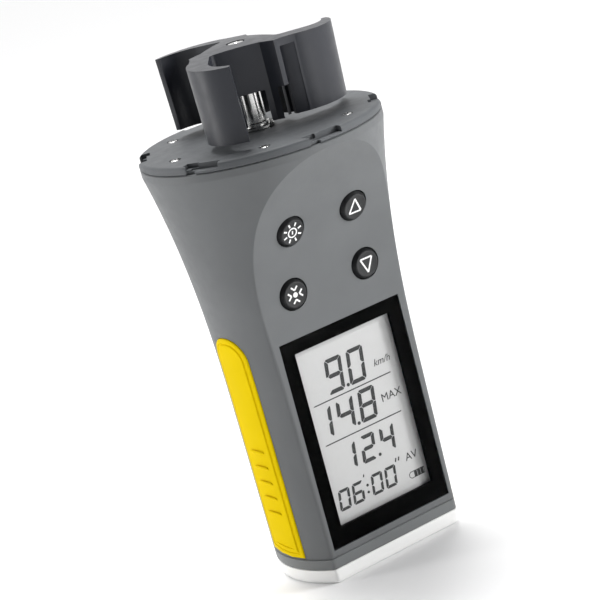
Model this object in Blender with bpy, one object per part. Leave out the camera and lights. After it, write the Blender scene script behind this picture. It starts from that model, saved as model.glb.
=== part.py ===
"""Vane anemometer: a hand-held wind meter with a three-cup rotor on a flared housing.

The model stands on its base. +Z is up, the rotor's axis is the Z axis, and the display faces -Y.
Dimensions below are in millimetres and meshes are made in metres.
"""
import math

import bmesh
import bpy
from mathutils import Matrix, Vector

MM = 0.001
GAP = 0.3                       # clearance between pieces that touch
FAR = 40.0                      # how far a cutter runs past the body

# Stack of the outer shells, from the base up
BASE_TOP = 3.9
BAND_BOTTOM = BASE_TOP + GAP
BAND_TOP = 6.9
HOUSING_BOTTOM = BAND_TOP + GAP
HOUSING_TOP = 115.9
DECK_BOTTOM = HOUSING_TOP + GAP
DECK_TOP = 118.3

# Round outer form, and the front cut across it
FOOT_RADIUS = 25.1
FLARE_START = 45.0
FLARE_HEIGHT = 69.0
FLARE_REACH = 5.85
FLARE_POWER = 2.6
SIDE_DRAFT = 0.012
RIM_RADIUS = 32.3
FRONT_DEPTH = 14.5
SWEEP_START = 60.0
SWEEP_HEIGHT = 54.4
SWEEP_REACH = 17.7
EDGE_RADIUS = 1.2
LEAST_FRONT = 0.6               # half width of the front where it runs out into the round rim
WALL = 2.0

# Display
WINDOW_HALF = 19.3
WINDOW_LOW = 9.1
WINDOW_HIGH = 66.3
WINDOW_THICK = 1.1
VIEW_HALF = 16.3
VIEW_LOW = 13.0
VIEW_HIGH = 64.0
LCD_HALF = 17.5
LCD_LOW = 11.5
LCD_HIGH = 65.5
LCD_THICK = 1.6
BOARD_THICK = 1.6               # of every circuit board
BOARD_HALF = 19.0
BOARD_LOW = 10.8
BOARD_HIGH = 68.0
CHIP_LOW = (-5.0, 34.0)
CHIP_HIGH = (5.0, 44.0)
CHIP_THICK = 1.4

# Push buttons: name, x and height of the centre
BUTTONS = (
    ("button_light", -10.0, 94.6),
    ("button_centre", -11.6, 77.9),
    ("button_up", 10.0, 94.6),
    ("button_down", 11.6, 77.9),
)
BUTTON_RADIUS = 4.0
BUTTON_PROUD = 1.0
BUTTON_HOLE = BUTTON_RADIUS + 0.35
FLANGE_RADIUS = 4.9
STEM_RADIUS = 1.6
STEM_DEPTH = 5.5
SWITCH_DEPTH = 6.6              # from the front surface to a switch, along the button
SWITCH_HEIGHT = 1.6
SWITCH_HALF = 3.0
KEYPAD_HALF = 17.0
KEYPAD_LOW = -14.0              # along the sloping keypad, from its middle
KEYPAD_HIGH = 13.0
MAT_LOW = 1.2                   # above the switches
MAT_THICK = 0.8
MAT_HOLE = 2.4

# Deck
SCREW_CIRCLE = 26.0
SCREW_ANGLES = (-120.0, -60.0, 0.0, 60.0, 120.0, 180.0)
NOTCH_ANGLES = (-150.0, -90.0, -30.0, 30.0, 90.0, 150.0)
NOTCH_WIDTH = 8.4
NOTCH_RADIUS = 29.8
NOTCH_FLOOR = 116.8
DECK_EDGE = (31.95, 118.1)      # rounded upper edge
DECK_EDGE_END = 31.4
HUB_RADIUS = 6.5                # boss round the collar, under the deck
LIP_BOTTOM = 113.2
LIP_INNER = 20.8
LIP_OUTER = 22.5
SEAL_GROOVE = (27.6, 29.4)
SEAL_DEPTH = 0.8
RING_RADIUS = 22.8              # inside of the housing's thick top ring
RING_BOTTOM = 108.0
RING_HEIGHTS = (110.5, 113.0, 114.2)
SCREW_RADIUS = 0.9
SCREW_TIP = 110.0
SCREW_HEAD_RADIUS = 1.35
SCREW_HEAD_LOW = 117.4
SCREW_HEAD_TOP = 118.5
PILOT_RADIUS = 1.2
PILOT_BOTTOM = 109.5
COLLAR_BORE = 1.75
COLLAR_RADIUS = 2.9
COLLAR_TOP = 128.3
COLLAR_BOTTOM = 112.8
FLANGE_HEIGHT = 0.9             # foot of the collar on the deck
SENSOR_BOARD_RADIUS = 20.0
SENSOR_BOARD_LOW = 103.5
SENSOR_LOW = (-2.0, -1.5)
SENSOR_HIGH = (2.0, 1.5)

# Rotor: one sector in its own frame, x along the vane and y the way the cup opens
ROTOR_BOTTOM = 120.4
ROTOR_TIP_TOP = 139.9
ROTOR_HUB_TOP = 141.6
ROTOR_TIP_RADIUS = 27.0
ROTOR_REST = -7.4               # angle of the first vane
VANE_CENTRE = (14.6, 0.3)       # convex side
VANE_RADIUS = 12.3
CUP_CENTRE = (17.0, 2.8)        # hollow side
CUP_RADIUS = 8.8
CUP_CORNER = (10.1, -4.8)       # rounded corner where the cup meets the hub's flat wall
CUP_CORNER_RADIUS = 1.4
HUB_CORNERS = ((2.4, -9.2), (5.1, -12.1), (7.2, -11.6))
HUB_INNER_CORNERS = ((3.0, -8.1), (4.8, -10.2))
CUP_INNER_CORNERS = ((9.9, -7.4), (7.5, -5.2))
GROOVE_ROOT = (6.9, -9.4)       # groove between hub and vane, under the top plate
GROOVE_MOUTH = (6.1, 11.6)
GROOVE_END = -14.0
ROTOR_WALL = 1.2
ROTOR_PLATE = 1.3               # top plate at the tips
ROTOR_DRAFT = 0.965             # size of the bottom outline over the top one
HUB_CUT_TOP = 128.7             # top of the windows in the hub's lower edge
HUB_WINDOW = ((4.6, -1.5), (12.0, 5.0))
HUB_SLOT = ((3.6, -14.0), (7.4, -7.6))
HUB_HOLE = 2.5
CAP_RADIUS = 2.2
CAP_LOW = 140.7
CAP_HIGH = 141.1
BUSH_RADIUS = 3.0
BUSH_FLANGE = 5.2
BUSH_LOW = 129.0
BUSH_TOP = 140.4
SHAFT_RADIUS = 1.5
SHAFT_LOW = 107.8
SHAFT_HIGH = 137.1
CLIP_RADIUS = 3.2
CLIP_LOW = 111.7
CLIP_HIGH = 112.4
MAGNET_RADIUS = 3.6
MAGNET_LOW = 107.5
MAGNET_HIGH = 111.3

# Grips on the two sides
GRIP_HALF = 7.1
GRIP_LOW = 7.6
GRIP_HIGH = 69.8
GRIP_CORNER = 6.4
GRIP_PROUD = 0.4
GRIP_THICK = 1.2
GRIP_LEVELS = (25.0, 45.0)      # heights of the points along its straight sides

# Battery bay
DOOR_HALF = 14.7
DOOR_LOW = 12.3
DOOR_HIGH = 65.7
DOOR_LEVELS = (25.0, 40.0, 53.0)
CELL_RADIUS = 7.25
CELL_LENGTH = 50.5
CELL_EDGE = 0.4
NIPPLE_RADIUS = 2.7
NIPPLE_HEIGHT = 1.2
CELL_X = 7.55
CELL_Y = 9.6
CELL_LOW = 14.0
TRAY_HALF = 16.0
TRAY_FRONT = 0.6
TRAY_BACK = 14.0
TRAY_LOW = 10.6
TRAY_HIGH = 66.4
TRAY_WALL = 1.0
SPRING_WIRE = 0.3
SPRING_TURNS = 2.5
SPRING_BASE = 3.6               # radius at the tray, falling to the tip's
SPRING_TIP = 1.8
STRIP_LOW = (-12.0, 6.0)
STRIP_HIGH = (12.0, 13.0)
STRIP_THICK = 0.3

# Base
SOCKET_RADIUS = 3.1
INSERT_RADIUS = 5.0
INSERT_LOW = 0.3
INSERT_HIGH = 10.2
SOCKET_END = 9.2
BAND_LIP_TOP = 10.0             # lip that fits inside the housing
BAND_LIP_WALL = 1.5
BASE_SCREW_X = 14.0
BASE_SCREW_Y = 4.0
BASE_HEAD_RADIUS = 2.2
BASE_HEAD = (0.5, 1.7)          # bottom and top of a base screw's head
BASE_SHANK = 1.2
BASE_SCREW_END = 9.5

ARC_STEPS = 28
HEIGHTS = (35.0, 58.0, 70.0, 79.0, 87.0, 94.0, 100.0, 106.0)


# ---------------------------------------------------------------- outer form

def body_radius(z):
    """Radius of the round outer form at height z."""
    rise = max(0.0, z - FLARE_START) / FLARE_HEIGHT
    return min(RIM_RADIUS, FOOT_RADIUS + SIDE_DRAFT * z + FLARE_REACH * rise ** FLARE_POWER)


def front_depth(z):
    """Distance of the front surface from the axis at height z."""
    rise = max(0.0, z - SWEEP_START) / SWEEP_HEIGHT
    return FRONT_DEPTH + SWEEP_REACH * rise ** 3


def front_slope(z):
    """How fast the front surface comes forward with height."""
    rise = max(0.0, z - SWEEP_START) / SWEEP_HEIGHT
    return 3.0 * SWEEP_REACH * rise ** 2 / SWEEP_HEIGHT


def front_corner(radius, depth):
    """Right-hand corner between the front and the round side, as three points."""
    reach = radius - EDGE_RADIUS
    cut = min(depth, radius) - EDGE_RADIUS
    half = max(LEAST_FRONT, math.sqrt(max(0.0, reach ** 2 - cut ** 2)))
    turn = math.asin(min(1.0, half / reach))
    if depth >= radius:
        angles = [-math.pi / 2 + turn * part for part in (0.6, 0.8, 1.0)]
        return [(radius * math.cos(a), radius * math.sin(a)) for a in angles]
    angles = [-math.pi / 2 + turn * part for part in (0.0, 0.5, 1.0)]
    return [(half + EDGE_RADIUS * math.cos(a), -depth + EDGE_RADIUS * (1.0 + math.sin(a))) for a in angles]


def section(z, inset=0.0, radius=None, depth=None):
    """Closed outline at height z: a circle cut straight across the front, with rounded corners."""
    radius = (radius or body_radius(z)) - inset
    depth = (depth or front_depth(z)) - inset
    corner = front_corner(radius, depth)
    start = math.atan2(corner[-1][1], corner[-1][0])
    angles = [start + (math.pi - 2.0 * start) * i / ARC_STEPS for i in range(1, ARC_STEPS)]
    arc = [(radius * math.cos(a), radius * math.sin(a)) for a in angles]
    outline = corner + arc + [(-x, y) for x, y in reversed(corner)]
    return [(x, y, z) for x, y in outline]


# ---------------------------------------------------------------- mesh tools

def material(name, colour, roughness, metallic=0.0):
    """A plain Principled material."""
    made = bpy.data.materials.new(name)
    made.use_nodes = True
    shader = made.node_tree.nodes["Principled BSDF"]
    shader.inputs["Base Color"].default_value = (*colour, 1.0)
    shader.inputs["Roughness"].default_value = roughness
    shader.inputs["Metallic"].default_value = metallic
    made.diffuse_color = (*colour, 1.0)
    return made


def finish_mesh(name, mesh_data, finish=None, place=None):
    """Turn a bmesh in millimetres into an object at its place. Without a finish it is a hidden cutter."""
    bmesh.ops.remove_doubles(mesh_data, verts=mesh_data.verts, dist=1e-4)
    bmesh.ops.recalc_face_normals(mesh_data, faces=mesh_data.faces)
    bmesh.ops.scale(mesh_data, vec=(MM, MM, MM), verts=mesh_data.verts)
    mesh = bpy.data.meshes.new(name)
    mesh_data.to_mesh(mesh)
    mesh_data.free()
    made = bpy.data.objects.new(name, mesh)
    bpy.context.scene.collection.objects.link(made)
    if place is not None:
        made.matrix_world = Matrix.Translation(place.translation * MM) @ place.to_3x3().to_4x4()
    if finish is None:
        made.hide_render = True
        made.display_type = "WIRE"
    else:
        mesh.materials.append(finish)
        mesh.shade_smooth()
        mesh.set_sharp_from_angle(angle=math.radians(35.0))
    return made


def loft(name, rings, finish=None, ends_meet=False, place=None):
    """Skin closed outlines one after another, then cap both ends or join them to each other."""
    mesh_data = bmesh.new()
    loops = [[mesh_data.verts.new(point) for point in ring] for ring in rings]
    pairs = list(zip(loops, loops[1:]))
    if ends_meet:
        pairs.append((loops[-1], loops[0]))
    for lower, upper in pairs:
        count = len(lower)
        for i in range(count):
            j = (i + 1) % count
            mesh_data.faces.new((lower[i], lower[j], upper[j], upper[i]))
    if not ends_meet:
        mesh_data.faces.new(list(reversed(loops[0])))
        mesh_data.faces.new(loops[-1])
    return finish_mesh(name, mesh_data, finish, place)


def prism(name, outline, low, high, finish=None, place=None, foot=1.0):
    """Extrude an outline upwards; foot scales the bottom outline."""
    rings = [[(x * foot, y * foot, low) for x, y in outline], [(x, y, high) for x, y in outline]]
    return loft(name, rings, finish, place=place)


def turned(name, profile, finish=None, steps=24, place=None):
    """Spin a closed profile of (radius, height) points about the Z axis."""
    mesh_data = bmesh.new()
    points = [mesh_data.verts.new((radius, 0.0, height)) for radius, height in profile]
    edges = [mesh_data.edges.new((a, b)) for a, b in zip(points, points[1:] + points[:1])
             if a.co.x > 0.0 or b.co.x > 0.0]
    bmesh.ops.spin(mesh_data, geom=points + edges, cent=(0, 0, 0), axis=(0, 0, 1),
                   angle=2.0 * math.pi, steps=steps, use_merge=True)
    return finish_mesh(name, mesh_data, finish, place)


def disc(name, radius, low, high, finish=None, steps=24, place=None):
    """A plain round bar."""
    return turned(name, ((0, low), (radius, low), (radius, high), (0, high)), finish, steps, place)


def ring(name, inner, outer, low, high, finish=None, steps=24, place=None):
    """A plain round tube."""
    profile = ((inner, low), (outer, low), (outer, high), (inner, high))
    return turned(name, profile, finish, steps, place)


def box(name, low, high, finish=None, place=None, bevel=0.0):
    """A box between two corners, with rounded edges when bevel is given."""
    mesh_data = bmesh.new()
    bmesh.ops.create_cube(mesh_data, size=1.0)
    size = [b - a for a, b in zip(low, high)]
    middle = [(a + b) / 2.0 for a, b in zip(low, high)]
    bmesh.ops.scale(mesh_data, vec=size, verts=mesh_data.verts)
    bmesh.ops.translate(mesh_data, vec=middle, verts=mesh_data.verts)
    if bevel:
        bmesh.ops.bevel(mesh_data, geom=mesh_data.edges[:], offset=bevel, segments=1, affect="EDGES")
    return finish_mesh(name, mesh_data, finish, place)


def combine(target, tool, operation="DIFFERENCE"):
    """Add a Boolean of a hidden helper to an object."""
    step = target.modifiers.new(tool.name, "BOOLEAN")
    step.operation = operation
    step.object = tool
    step.solver = "EXACT"


def about_z(degrees, x=0.0, y=0.0):
    """Place a thing at (x, y) and turn the whole about the Z axis."""
    return Matrix.Rotation(math.radians(degrees), 4, "Z") @ Matrix.Translation((x, y, 0.0))


def facing(origin, normal):
    """Frame at origin whose Z axis is normal."""
    turn = Vector((0, 0, 1)).rotation_difference(Vector(normal)).to_matrix().to_4x4()
    return Matrix.Translation(origin) @ turn


def arc_points(centre, radius, start, end, steps):
    """Points along an arc, both ends included, angles in degrees."""
    angles = [math.radians(start + (end - start) * i / steps) for i in range(steps + 1)]
    return [(centre[0] + radius * math.cos(a), centre[1] + radius * math.sin(a)) for a in angles]


def turned_point(point, degrees):
    """Rotate a plan point about the axis."""
    angle = math.radians(degrees)
    return (point[0] * math.cos(angle) - point[1] * math.sin(angle),
            point[0] * math.sin(angle) + point[1] * math.cos(angle))


# ---------------------------------------------------------------- materials

GREY = material("grey_plastic", (0.20, 0.21, 0.215), 0.45)
DECK_GREY = material("deck_plastic", (0.15, 0.16, 0.17), 0.5)
DARK = material("rotor_plastic", (0.035, 0.04, 0.05), 0.35)
BLACK = material("window_black", (0.004, 0.004, 0.004), 0.15)
LCD = material("lcd_grey", (0.5, 0.5, 0.5), 0.4)
KEY = material("button_rubber", (0.02, 0.02, 0.022), 0.5)
YELLOW = material("grip_yellow", (0.80, 0.63, 0.003), 0.5)
WHITE = material("base_white", (0.80, 0.80, 0.79), 0.4)
STEEL = material("steel", (0.6, 0.6, 0.6), 0.25, 1.0)
BRASS = material("brass", (0.7, 0.5, 0.2), 0.35, 1.0)
BOARD = material("board_green", (0.01, 0.12, 0.05), 0.5)
CHIP = material("chip_black", (0.01, 0.01, 0.01), 0.5)
RUBBER = material("seal_rubber", (0.02, 0.02, 0.02), 0.7)
CELL = material("cell_wrap", (0.03, 0.08, 0.25), 0.3)


# ---------------------------------------------------------------- housing

def button_frame(x, z):
    """Frame on the front surface with Z pointing out of it."""
    return facing((x, -front_depth(z), z), (0.0, -1.0, -front_slope(z)))


def make_housing():
    """Flared tube with a flat front, thick at the top where the deck screws in."""
    levels = (HOUSING_BOTTOM,) + HEIGHTS
    outer = [section(z) for z in levels + RING_HEIGHTS + (HOUSING_TOP,)]
    bore = [section(z, radius=RING_RADIUS, depth=RING_RADIUS) for z in (HOUSING_TOP, RING_BOTTOM)]
    inner = [section(z, WALL) for z in reversed(levels)]
    shell = loft("housing_shell", outer + bore + inner, GREY, ends_meet=True)

    recess_half, recess_low, recess_high = WINDOW_HALF + GAP, WINDOW_LOW - GAP, WINDOW_HIGH + GAP
    recess_back = -FRONT_DEPTH + WINDOW_THICK + GAP
    recess = box("window_recess", (-recess_half, -FAR, recess_low), (recess_half, recess_back, recess_high))
    combine(shell, recess)
    wall_back = -FRONT_DEPTH + WALL + 1.5
    opening = box("window_opening", (-VIEW_HALF, -FRONT_DEPTH, VIEW_LOW), (VIEW_HALF, wall_back, VIEW_HIGH))
    combine(shell, opening)
    for name, x, z in BUTTONS:
        combine(shell, disc(name + "_hole", BUTTON_HOLE, -WALL - 2.5, 4.0, place=button_frame(x, z)))
    bay_half, bay_low, bay_high = DOOR_HALF + GAP, DOOR_LOW - GAP, DOOR_HIGH + GAP
    combine(shell, box("battery_opening", (-bay_half, 12.0, bay_low), (bay_half, FAR, bay_high)))
    for index, angle in enumerate(SCREW_ANGLES):
        pilot = disc("screw_hole_%d" % (index + 1), PILOT_RADIUS, PILOT_BOTTOM, HOUSING_TOP + 4.0, steps=10,
                     place=about_z(angle, SCREW_CIRCLE))
        combine(shell, pilot)
    for side in (-1, 1):
        combine(shell, make_grip("grip_recess_%d" % side, side, GAP, None))


def grip_outline(margin):
    """Outline of a grip as (distance round the body, height): square foot and round top."""
    half = GRIP_HALF + margin
    low = GRIP_LOW - margin
    corner = GRIP_CORNER + margin
    top = GRIP_HIGH + margin
    right = arc_points((half - corner, top - corner), corner, 0, 90, 4)
    left = arc_points((-half + corner, top - corner), corner, 90, 180, 4)
    foot = [(-half, low + 0.8), (-half / 3, low + 0.4), (half / 3, low), (half, low)]
    rise = [(half, z) for z in GRIP_LEVELS]
    fall = [(-half, z) for z in reversed(GRIP_LEVELS)]
    return foot + rise + right + left + fall


def make_grip(name, side, margin, finish):
    """Curved pad let into the side of the housing; with a margin it is its recess."""
    rings = []
    proud = GRIP_PROUD if finish else 4.0
    sink = GRIP_THICK - GRIP_PROUD + margin
    for lift in (-sink, proud):
        loop = []
        for distance, z in grip_outline(margin):
            reach = body_radius(z) + lift
            angle = -distance / body_radius(z)
            loop.append((side * reach * math.cos(angle), reach * math.sin(angle), z))
        rings.append(loop)
    mesh_data = bmesh.new()
    loops = [[mesh_data.verts.new(point) for point in ring_points] for ring_points in rings]
    count = len(loops[0])
    for i in range(count):
        j = (i + 1) % count
        mesh_data.faces.new((loops[0][i], loops[0][j], loops[1][j], loops[1][i]))
    for loop in loops:
        fill_pad(mesh_data, loop)
    return finish_mesh(name, mesh_data, finish)


def fill_pad(mesh_data, loop):
    """Close a pad's outline with a strip of faces between its two long sides."""
    count = len(loop)
    left, right = count, 3
    mesh_data.faces.new([loop[i] for i in (0, 1, 2, 3)])
    while left - right > 1:
        a, b = loop[left % count], loop[right]
        c, d = loop[left - 1], loop[right + 1]
        if c is d:
            mesh_data.faces.new((a, b, c))
        else:
            mesh_data.faces.new((a, b, d, c))
        left -= 1
        right += 1


def make_display():
    """Window, liquid-crystal panel and its backlight, one behind the other."""
    window_back = -FRONT_DEPTH + WINDOW_THICK
    corner = (WINDOW_HALF, window_back, WINDOW_HIGH)
    box("display_window", (-WINDOW_HALF, -FRONT_DEPTH, WINDOW_LOW), corner, BLACK)
    lcd_front = -FRONT_DEPTH + WALL + GAP
    lcd_back = lcd_front + LCD_THICK
    box("lcd_panel", (-LCD_HALF, lcd_front, LCD_LOW), (LCD_HALF, lcd_back, LCD_HIGH), LCD)
    light_front = lcd_back + GAP
    light_back = light_front + LCD_THICK
    box("lcd_backlight", (-LCD_HALF, light_front, LCD_LOW), (LCD_HALF, light_back, LCD_HIGH), WHITE)
    board_front = light_back + GAP
    board_back = board_front + BOARD_THICK
    box("main_board", (-BOARD_HALF, board_front, BOARD_LOW), (BOARD_HALF, board_back, BOARD_HIGH), BOARD)
    chip_front = board_back + GAP
    corner = (CHIP_HIGH[0], chip_front + CHIP_THICK, CHIP_HIGH[1])
    box("processor_chip", (CHIP_LOW[0], chip_front, CHIP_LOW[1]), corner, CHIP, bevel=0.25)


# ---------------------------------------------------------------- keypad

def keypad_frame():
    """Plane through the switches of both rows, its Z axis pointing out of the front."""
    rows = []
    for z in (BUTTONS[1][2], BUTTONS[0][2]):
        rows.append(button_frame(0.0, z) @ Vector((0.0, 0.0, -SWITCH_DEPTH)))
    up = (rows[1] - rows[0]).normalized()
    across = Vector((1.0, 0.0, 0.0))
    outward = across.cross(up)
    middle = (rows[0] + rows[1]) / 2.0
    frame = Matrix((across, up, outward)).transposed().to_4x4()
    return Matrix.Translation(middle) @ frame, (rows[1] - rows[0]).length / 2.0


def make_buttons():
    """Round push buttons, each with a flange inside the wall and a stem over its switch."""
    top = BUTTON_PROUD
    rim = BUTTON_RADIUS
    flange_top = -WALL - GAP
    edge = 0.7
    flange_low = flange_top - edge
    profile = ((0, -STEM_DEPTH), (STEM_RADIUS, -STEM_DEPTH), (STEM_RADIUS, flange_low),
               (FLANGE_RADIUS, flange_low), (FLANGE_RADIUS, flange_top), (rim, flange_top),
               (rim, top - edge), (rim - 0.3 * edge, top - 0.3 * edge), (rim - edge, top), (0, top))
    for name, x, z in BUTTONS:
        turned(name, profile, KEY, 20, button_frame(x, z))


def make_keypad():
    """Board with four switches, and the soft mat that seals behind the buttons."""
    frame, half_rise = keypad_frame()
    top_row = BUTTONS[0][2]
    spots = [(x, half_rise if z == top_row else -half_rise) for name, x, z in BUTTONS]
    for index, (x, rise) in enumerate(spots):
        spot = frame @ Matrix.Translation((x, rise, 0.0))
        corner = (SWITCH_HALF, SWITCH_HALF, 0.0)
        box("switch_%d" % (index + 1), (-SWITCH_HALF, -SWITCH_HALF, -SWITCH_HEIGHT), corner, STEEL, spot, 0.3)
    board_top = -SWITCH_HEIGHT - GAP
    board_low = board_top - BOARD_THICK
    corner = (KEYPAD_HALF, KEYPAD_HIGH, board_top)
    box("keypad_board", (-KEYPAD_HALF, KEYPAD_LOW, board_low), corner, BOARD, frame)
    mat_half, mat_top = KEYPAD_HALF + 0.5, MAT_LOW + MAT_THICK
    corner = (mat_half, KEYPAD_HIGH + 0.5, mat_top)
    mat = box("keypad_mat", (-mat_half, KEYPAD_LOW, MAT_LOW), corner, RUBBER, frame)
    for index, (x, rise) in enumerate(spots):
        spot = frame @ Matrix.Translation((x, rise, 0.0))
        combine(mat, disc("mat_hole_%d" % (index + 1), MAT_HOLE, 0.0, 2.0 * mat_top, steps=12, place=spot))


# ---------------------------------------------------------------- deck

def make_deck():
    """Round lid with a locating lip, a seal groove and six rim notches."""
    hole = COLLAR_RADIUS + GAP
    groove_inner, groove_outer = SEAL_GROOVE
    groove_top = DECK_BOTTOM + SEAL_DEPTH
    profile = ((hole, LIP_BOTTOM + GAP), (HUB_RADIUS, LIP_BOTTOM + GAP), (HUB_RADIUS, DECK_BOTTOM),
               (LIP_INNER, DECK_BOTTOM), (LIP_INNER, LIP_BOTTOM), (LIP_OUTER, LIP_BOTTOM),
               (LIP_OUTER, DECK_BOTTOM), (groove_inner, DECK_BOTTOM), (groove_inner, groove_top),
               (groove_outer, groove_top), (groove_outer, DECK_BOTTOM), (RIM_RADIUS - 0.4, DECK_BOTTOM),
               (RIM_RADIUS, DECK_BOTTOM + 0.4), (RIM_RADIUS, DECK_TOP - 0.7), DECK_EDGE,
               (DECK_EDGE_END, DECK_TOP), (hole, DECK_TOP))
    deck = turned("deck_plate", profile, DECK_GREY, 40)
    for index, angle in enumerate(NOTCH_ANGLES):
        notch = box("rim_notch_%d" % (index + 1), (NOTCH_RADIUS, -NOTCH_WIDTH / 2, NOTCH_FLOOR),
                    (FAR, NOTCH_WIDTH / 2, DECK_TOP + 0.7), place=about_z(angle))
        combine(deck, notch)
    ring("deck_seal", groove_inner + GAP, groove_outer - GAP, DECK_BOTTOM, groove_top - GAP, RUBBER, 36)
    make_deck_screws(deck)


def make_deck_screws(deck):
    """Six screws, their counterbored holes cut in the deck."""
    over = DECK_TOP + 1.7
    low = SCREW_HEAD_LOW
    narrow, wide = PILOT_RADIUS + 0.1, SCREW_HEAD_RADIUS + 0.35
    hole = ((0, 115.0), (narrow, 115.0), (narrow, low - GAP), (wide, low - GAP), (wide, over), (0, over))
    screw = ((0, SCREW_TIP), (SCREW_RADIUS, SCREW_TIP + 0.6), (SCREW_RADIUS, low), (SCREW_HEAD_RADIUS, low),
             (SCREW_HEAD_RADIUS, SCREW_HEAD_TOP - 0.2), (SCREW_HEAD_RADIUS - 0.25, SCREW_HEAD_TOP),
             (0, SCREW_HEAD_TOP))
    for index, angle in enumerate(SCREW_ANGLES):
        spot = about_z(angle, SCREW_CIRCLE)
        combine(deck, turned("deck_hole_%d" % (index + 1), hole, steps=12, place=spot))
        turned("deck_screw_%d" % (index + 1), screw, STEEL, 10, spot)


def make_sensor():
    """Steel collar round the spindle, and the board under it that counts the turns."""
    low = DECK_TOP + GAP
    high = low + FLANGE_HEIGHT
    collar = ((COLLAR_BORE, COLLAR_BOTTOM), (COLLAR_RADIUS, COLLAR_BOTTOM), (COLLAR_RADIUS, low), (4.8, low),
              (4.8, high - 0.3), (4.5, high), (COLLAR_RADIUS, high), (COLLAR_RADIUS, COLLAR_TOP - 0.3),
              (COLLAR_RADIUS - 0.3, COLLAR_TOP), (COLLAR_BORE, COLLAR_TOP))
    turned("spindle_collar", collar, STEEL)
    board_high = SENSOR_BOARD_LOW + BOARD_THICK
    disc("sensor_board", SENSOR_BOARD_RADIUS, SENSOR_BOARD_LOW, board_high, BOARD, 32)
    sensor_low = board_high + GAP
    box("hall_sensor", (*SENSOR_LOW, sensor_low), (*SENSOR_HIGH, sensor_low + 1.5), CHIP, bevel=0.2)


# ---------------------------------------------------------------- rotor

def three_sectors(sector):
    """Repeat one sector's outline at every vane."""
    return [turned_point(point, 120.0 * turn) for turn in range(3) for point in sector]


def rotor_outline():
    """Plan of the whole rotor at its top plate."""
    sector = list(HUB_CORNERS)
    sector += arc_points(VANE_CENTRE, VANE_RADIUS, -105.0, -0.5, 11)
    sector += arc_points(CUP_CENTRE, CUP_RADIUS, -17.0, -90.0, 8)
    sector += arc_points(CUP_CORNER, CUP_CORNER_RADIUS, -90.0, -175.0, 4)
    return three_sectors(sector)


def cavity_outline():
    """Plan of the hollow under the rotor's top, one wall thickness inside the outline."""
    outer = VANE_RADIUS - ROTOR_WALL
    inner = CUP_RADIUS + ROTOR_WALL
    across = Vector(CUP_CENTRE) - Vector(VANE_CENTRE)
    along = (outer ** 2 - inner ** 2 + across.length_squared) / (2.0 * across.length)
    height = math.sqrt(outer ** 2 - along ** 2)
    unit = across.normalized()
    tip = Vector(VANE_CENTRE) + unit * along + Vector((unit.y, -unit.x)) * height
    outer_end = math.degrees(math.atan2(tip.y - VANE_CENTRE[1], tip.x - VANE_CENTRE[0]))
    inner_start = math.degrees(math.atan2(tip.y - CUP_CENTRE[1], tip.x - CUP_CENTRE[0]))
    sector = list(HUB_INNER_CORNERS)
    sector += arc_points(VANE_CENTRE, outer, -137.0, outer_end, 10)
    sector += arc_points(CUP_CENTRE, inner, inner_start, -90.0, 6)[1:]
    sector += CUP_INNER_CORNERS
    return three_sectors(sector)


def groove_outline():
    """Plan of the groove that sets one vane off from the hub below the top plate."""
    side = arc_points(VANE_CENTRE, VANE_RADIUS, -126.0, -108.0, 3)
    return [(GROOVE_MOUTH[0], GROOVE_END), GROOVE_ROOT] + side + [(GROOVE_MOUTH[1], GROOVE_END)]


def make_rotor():
    """Three cups round a hollow hub, with a slightly conical top."""
    rest = about_z(ROTOR_REST)
    over, foot = ROTOR_HUB_TOP + 3.4, ROTOR_BOTTOM - 1.0
    wheel = prism("rotor_wheel", rotor_outline(), ROTOR_BOTTOM, over, DARK, rest, ROTOR_DRAFT)
    fall = (ROTOR_HUB_TOP - ROTOR_TIP_TOP) / ROTOR_TIP_RADIUS
    cone = ((0, foot - FAR), (FAR, foot - FAR), (FAR, ROTOR_HUB_TOP - fall * FAR), (0, ROTOR_HUB_TOP))
    combine(wheel, turned("rotor_top_form", cone, steps=36), "INTERSECT")
    plate_low = ROTOR_TIP_TOP - ROTOR_PLATE
    combine(wheel, prism("rotor_hollow", cavity_outline(), foot, plate_low, None, rest, ROTOR_DRAFT))
    combine(wheel, disc("hub_recess", HUB_HOLE, plate_low - 1.0, over))
    for turn in range(3):
        place = about_z(ROTOR_REST + 120.0 * turn)
        name = "vane_groove_%d" % (turn + 1)
        combine(wheel, prism(name, groove_outline(), foot, plate_low, None, place, ROTOR_DRAFT))
        for name, (low, high) in (("hub_window", HUB_WINDOW), ("hub_slot", HUB_SLOT)):
            combine(wheel, box("%s_%d" % (name, turn + 1), (*low, foot), (*high, HUB_CUT_TOP), place=place))
    disc("hub_cap", CAP_RADIUS, CAP_LOW, CAP_HIGH, STEEL, 16)
    make_spindle(plate_low - GAP)


def make_spindle(flange_top):
    """Brass bush under the rotor's top plate, and the steel spindle with its clip and magnet."""
    bore = SHAFT_RADIUS + GAP
    flange_low = flange_top - 1.9
    bush = ((0, SHAFT_HIGH + GAP), (bore, SHAFT_HIGH + GAP), (bore, BUSH_LOW), (BUSH_RADIUS, BUSH_LOW),
            (BUSH_RADIUS, flange_low), (BUSH_FLANGE, flange_low), (BUSH_FLANGE, flange_top),
            (CAP_RADIUS, flange_top), (CAP_RADIUS, BUSH_TOP), (0, BUSH_TOP))
    turned("rotor_bush", bush, BRASS)
    spindle = ((0, SHAFT_LOW), (SHAFT_RADIUS, SHAFT_LOW), (SHAFT_RADIUS, SHAFT_HIGH - 0.5),
               (SHAFT_RADIUS - 0.5, SHAFT_HIGH), (0, SHAFT_HIGH))
    turned("spindle", spindle, STEEL)
    ring("retaining_clip", bore, CLIP_RADIUS, CLIP_LOW, CLIP_HIGH, STEEL, 20)
    ring("rotor_magnet", bore, MAGNET_RADIUS, MAGNET_LOW, MAGNET_HIGH, CHIP, 20)


# ---------------------------------------------------------------- batteries

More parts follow.
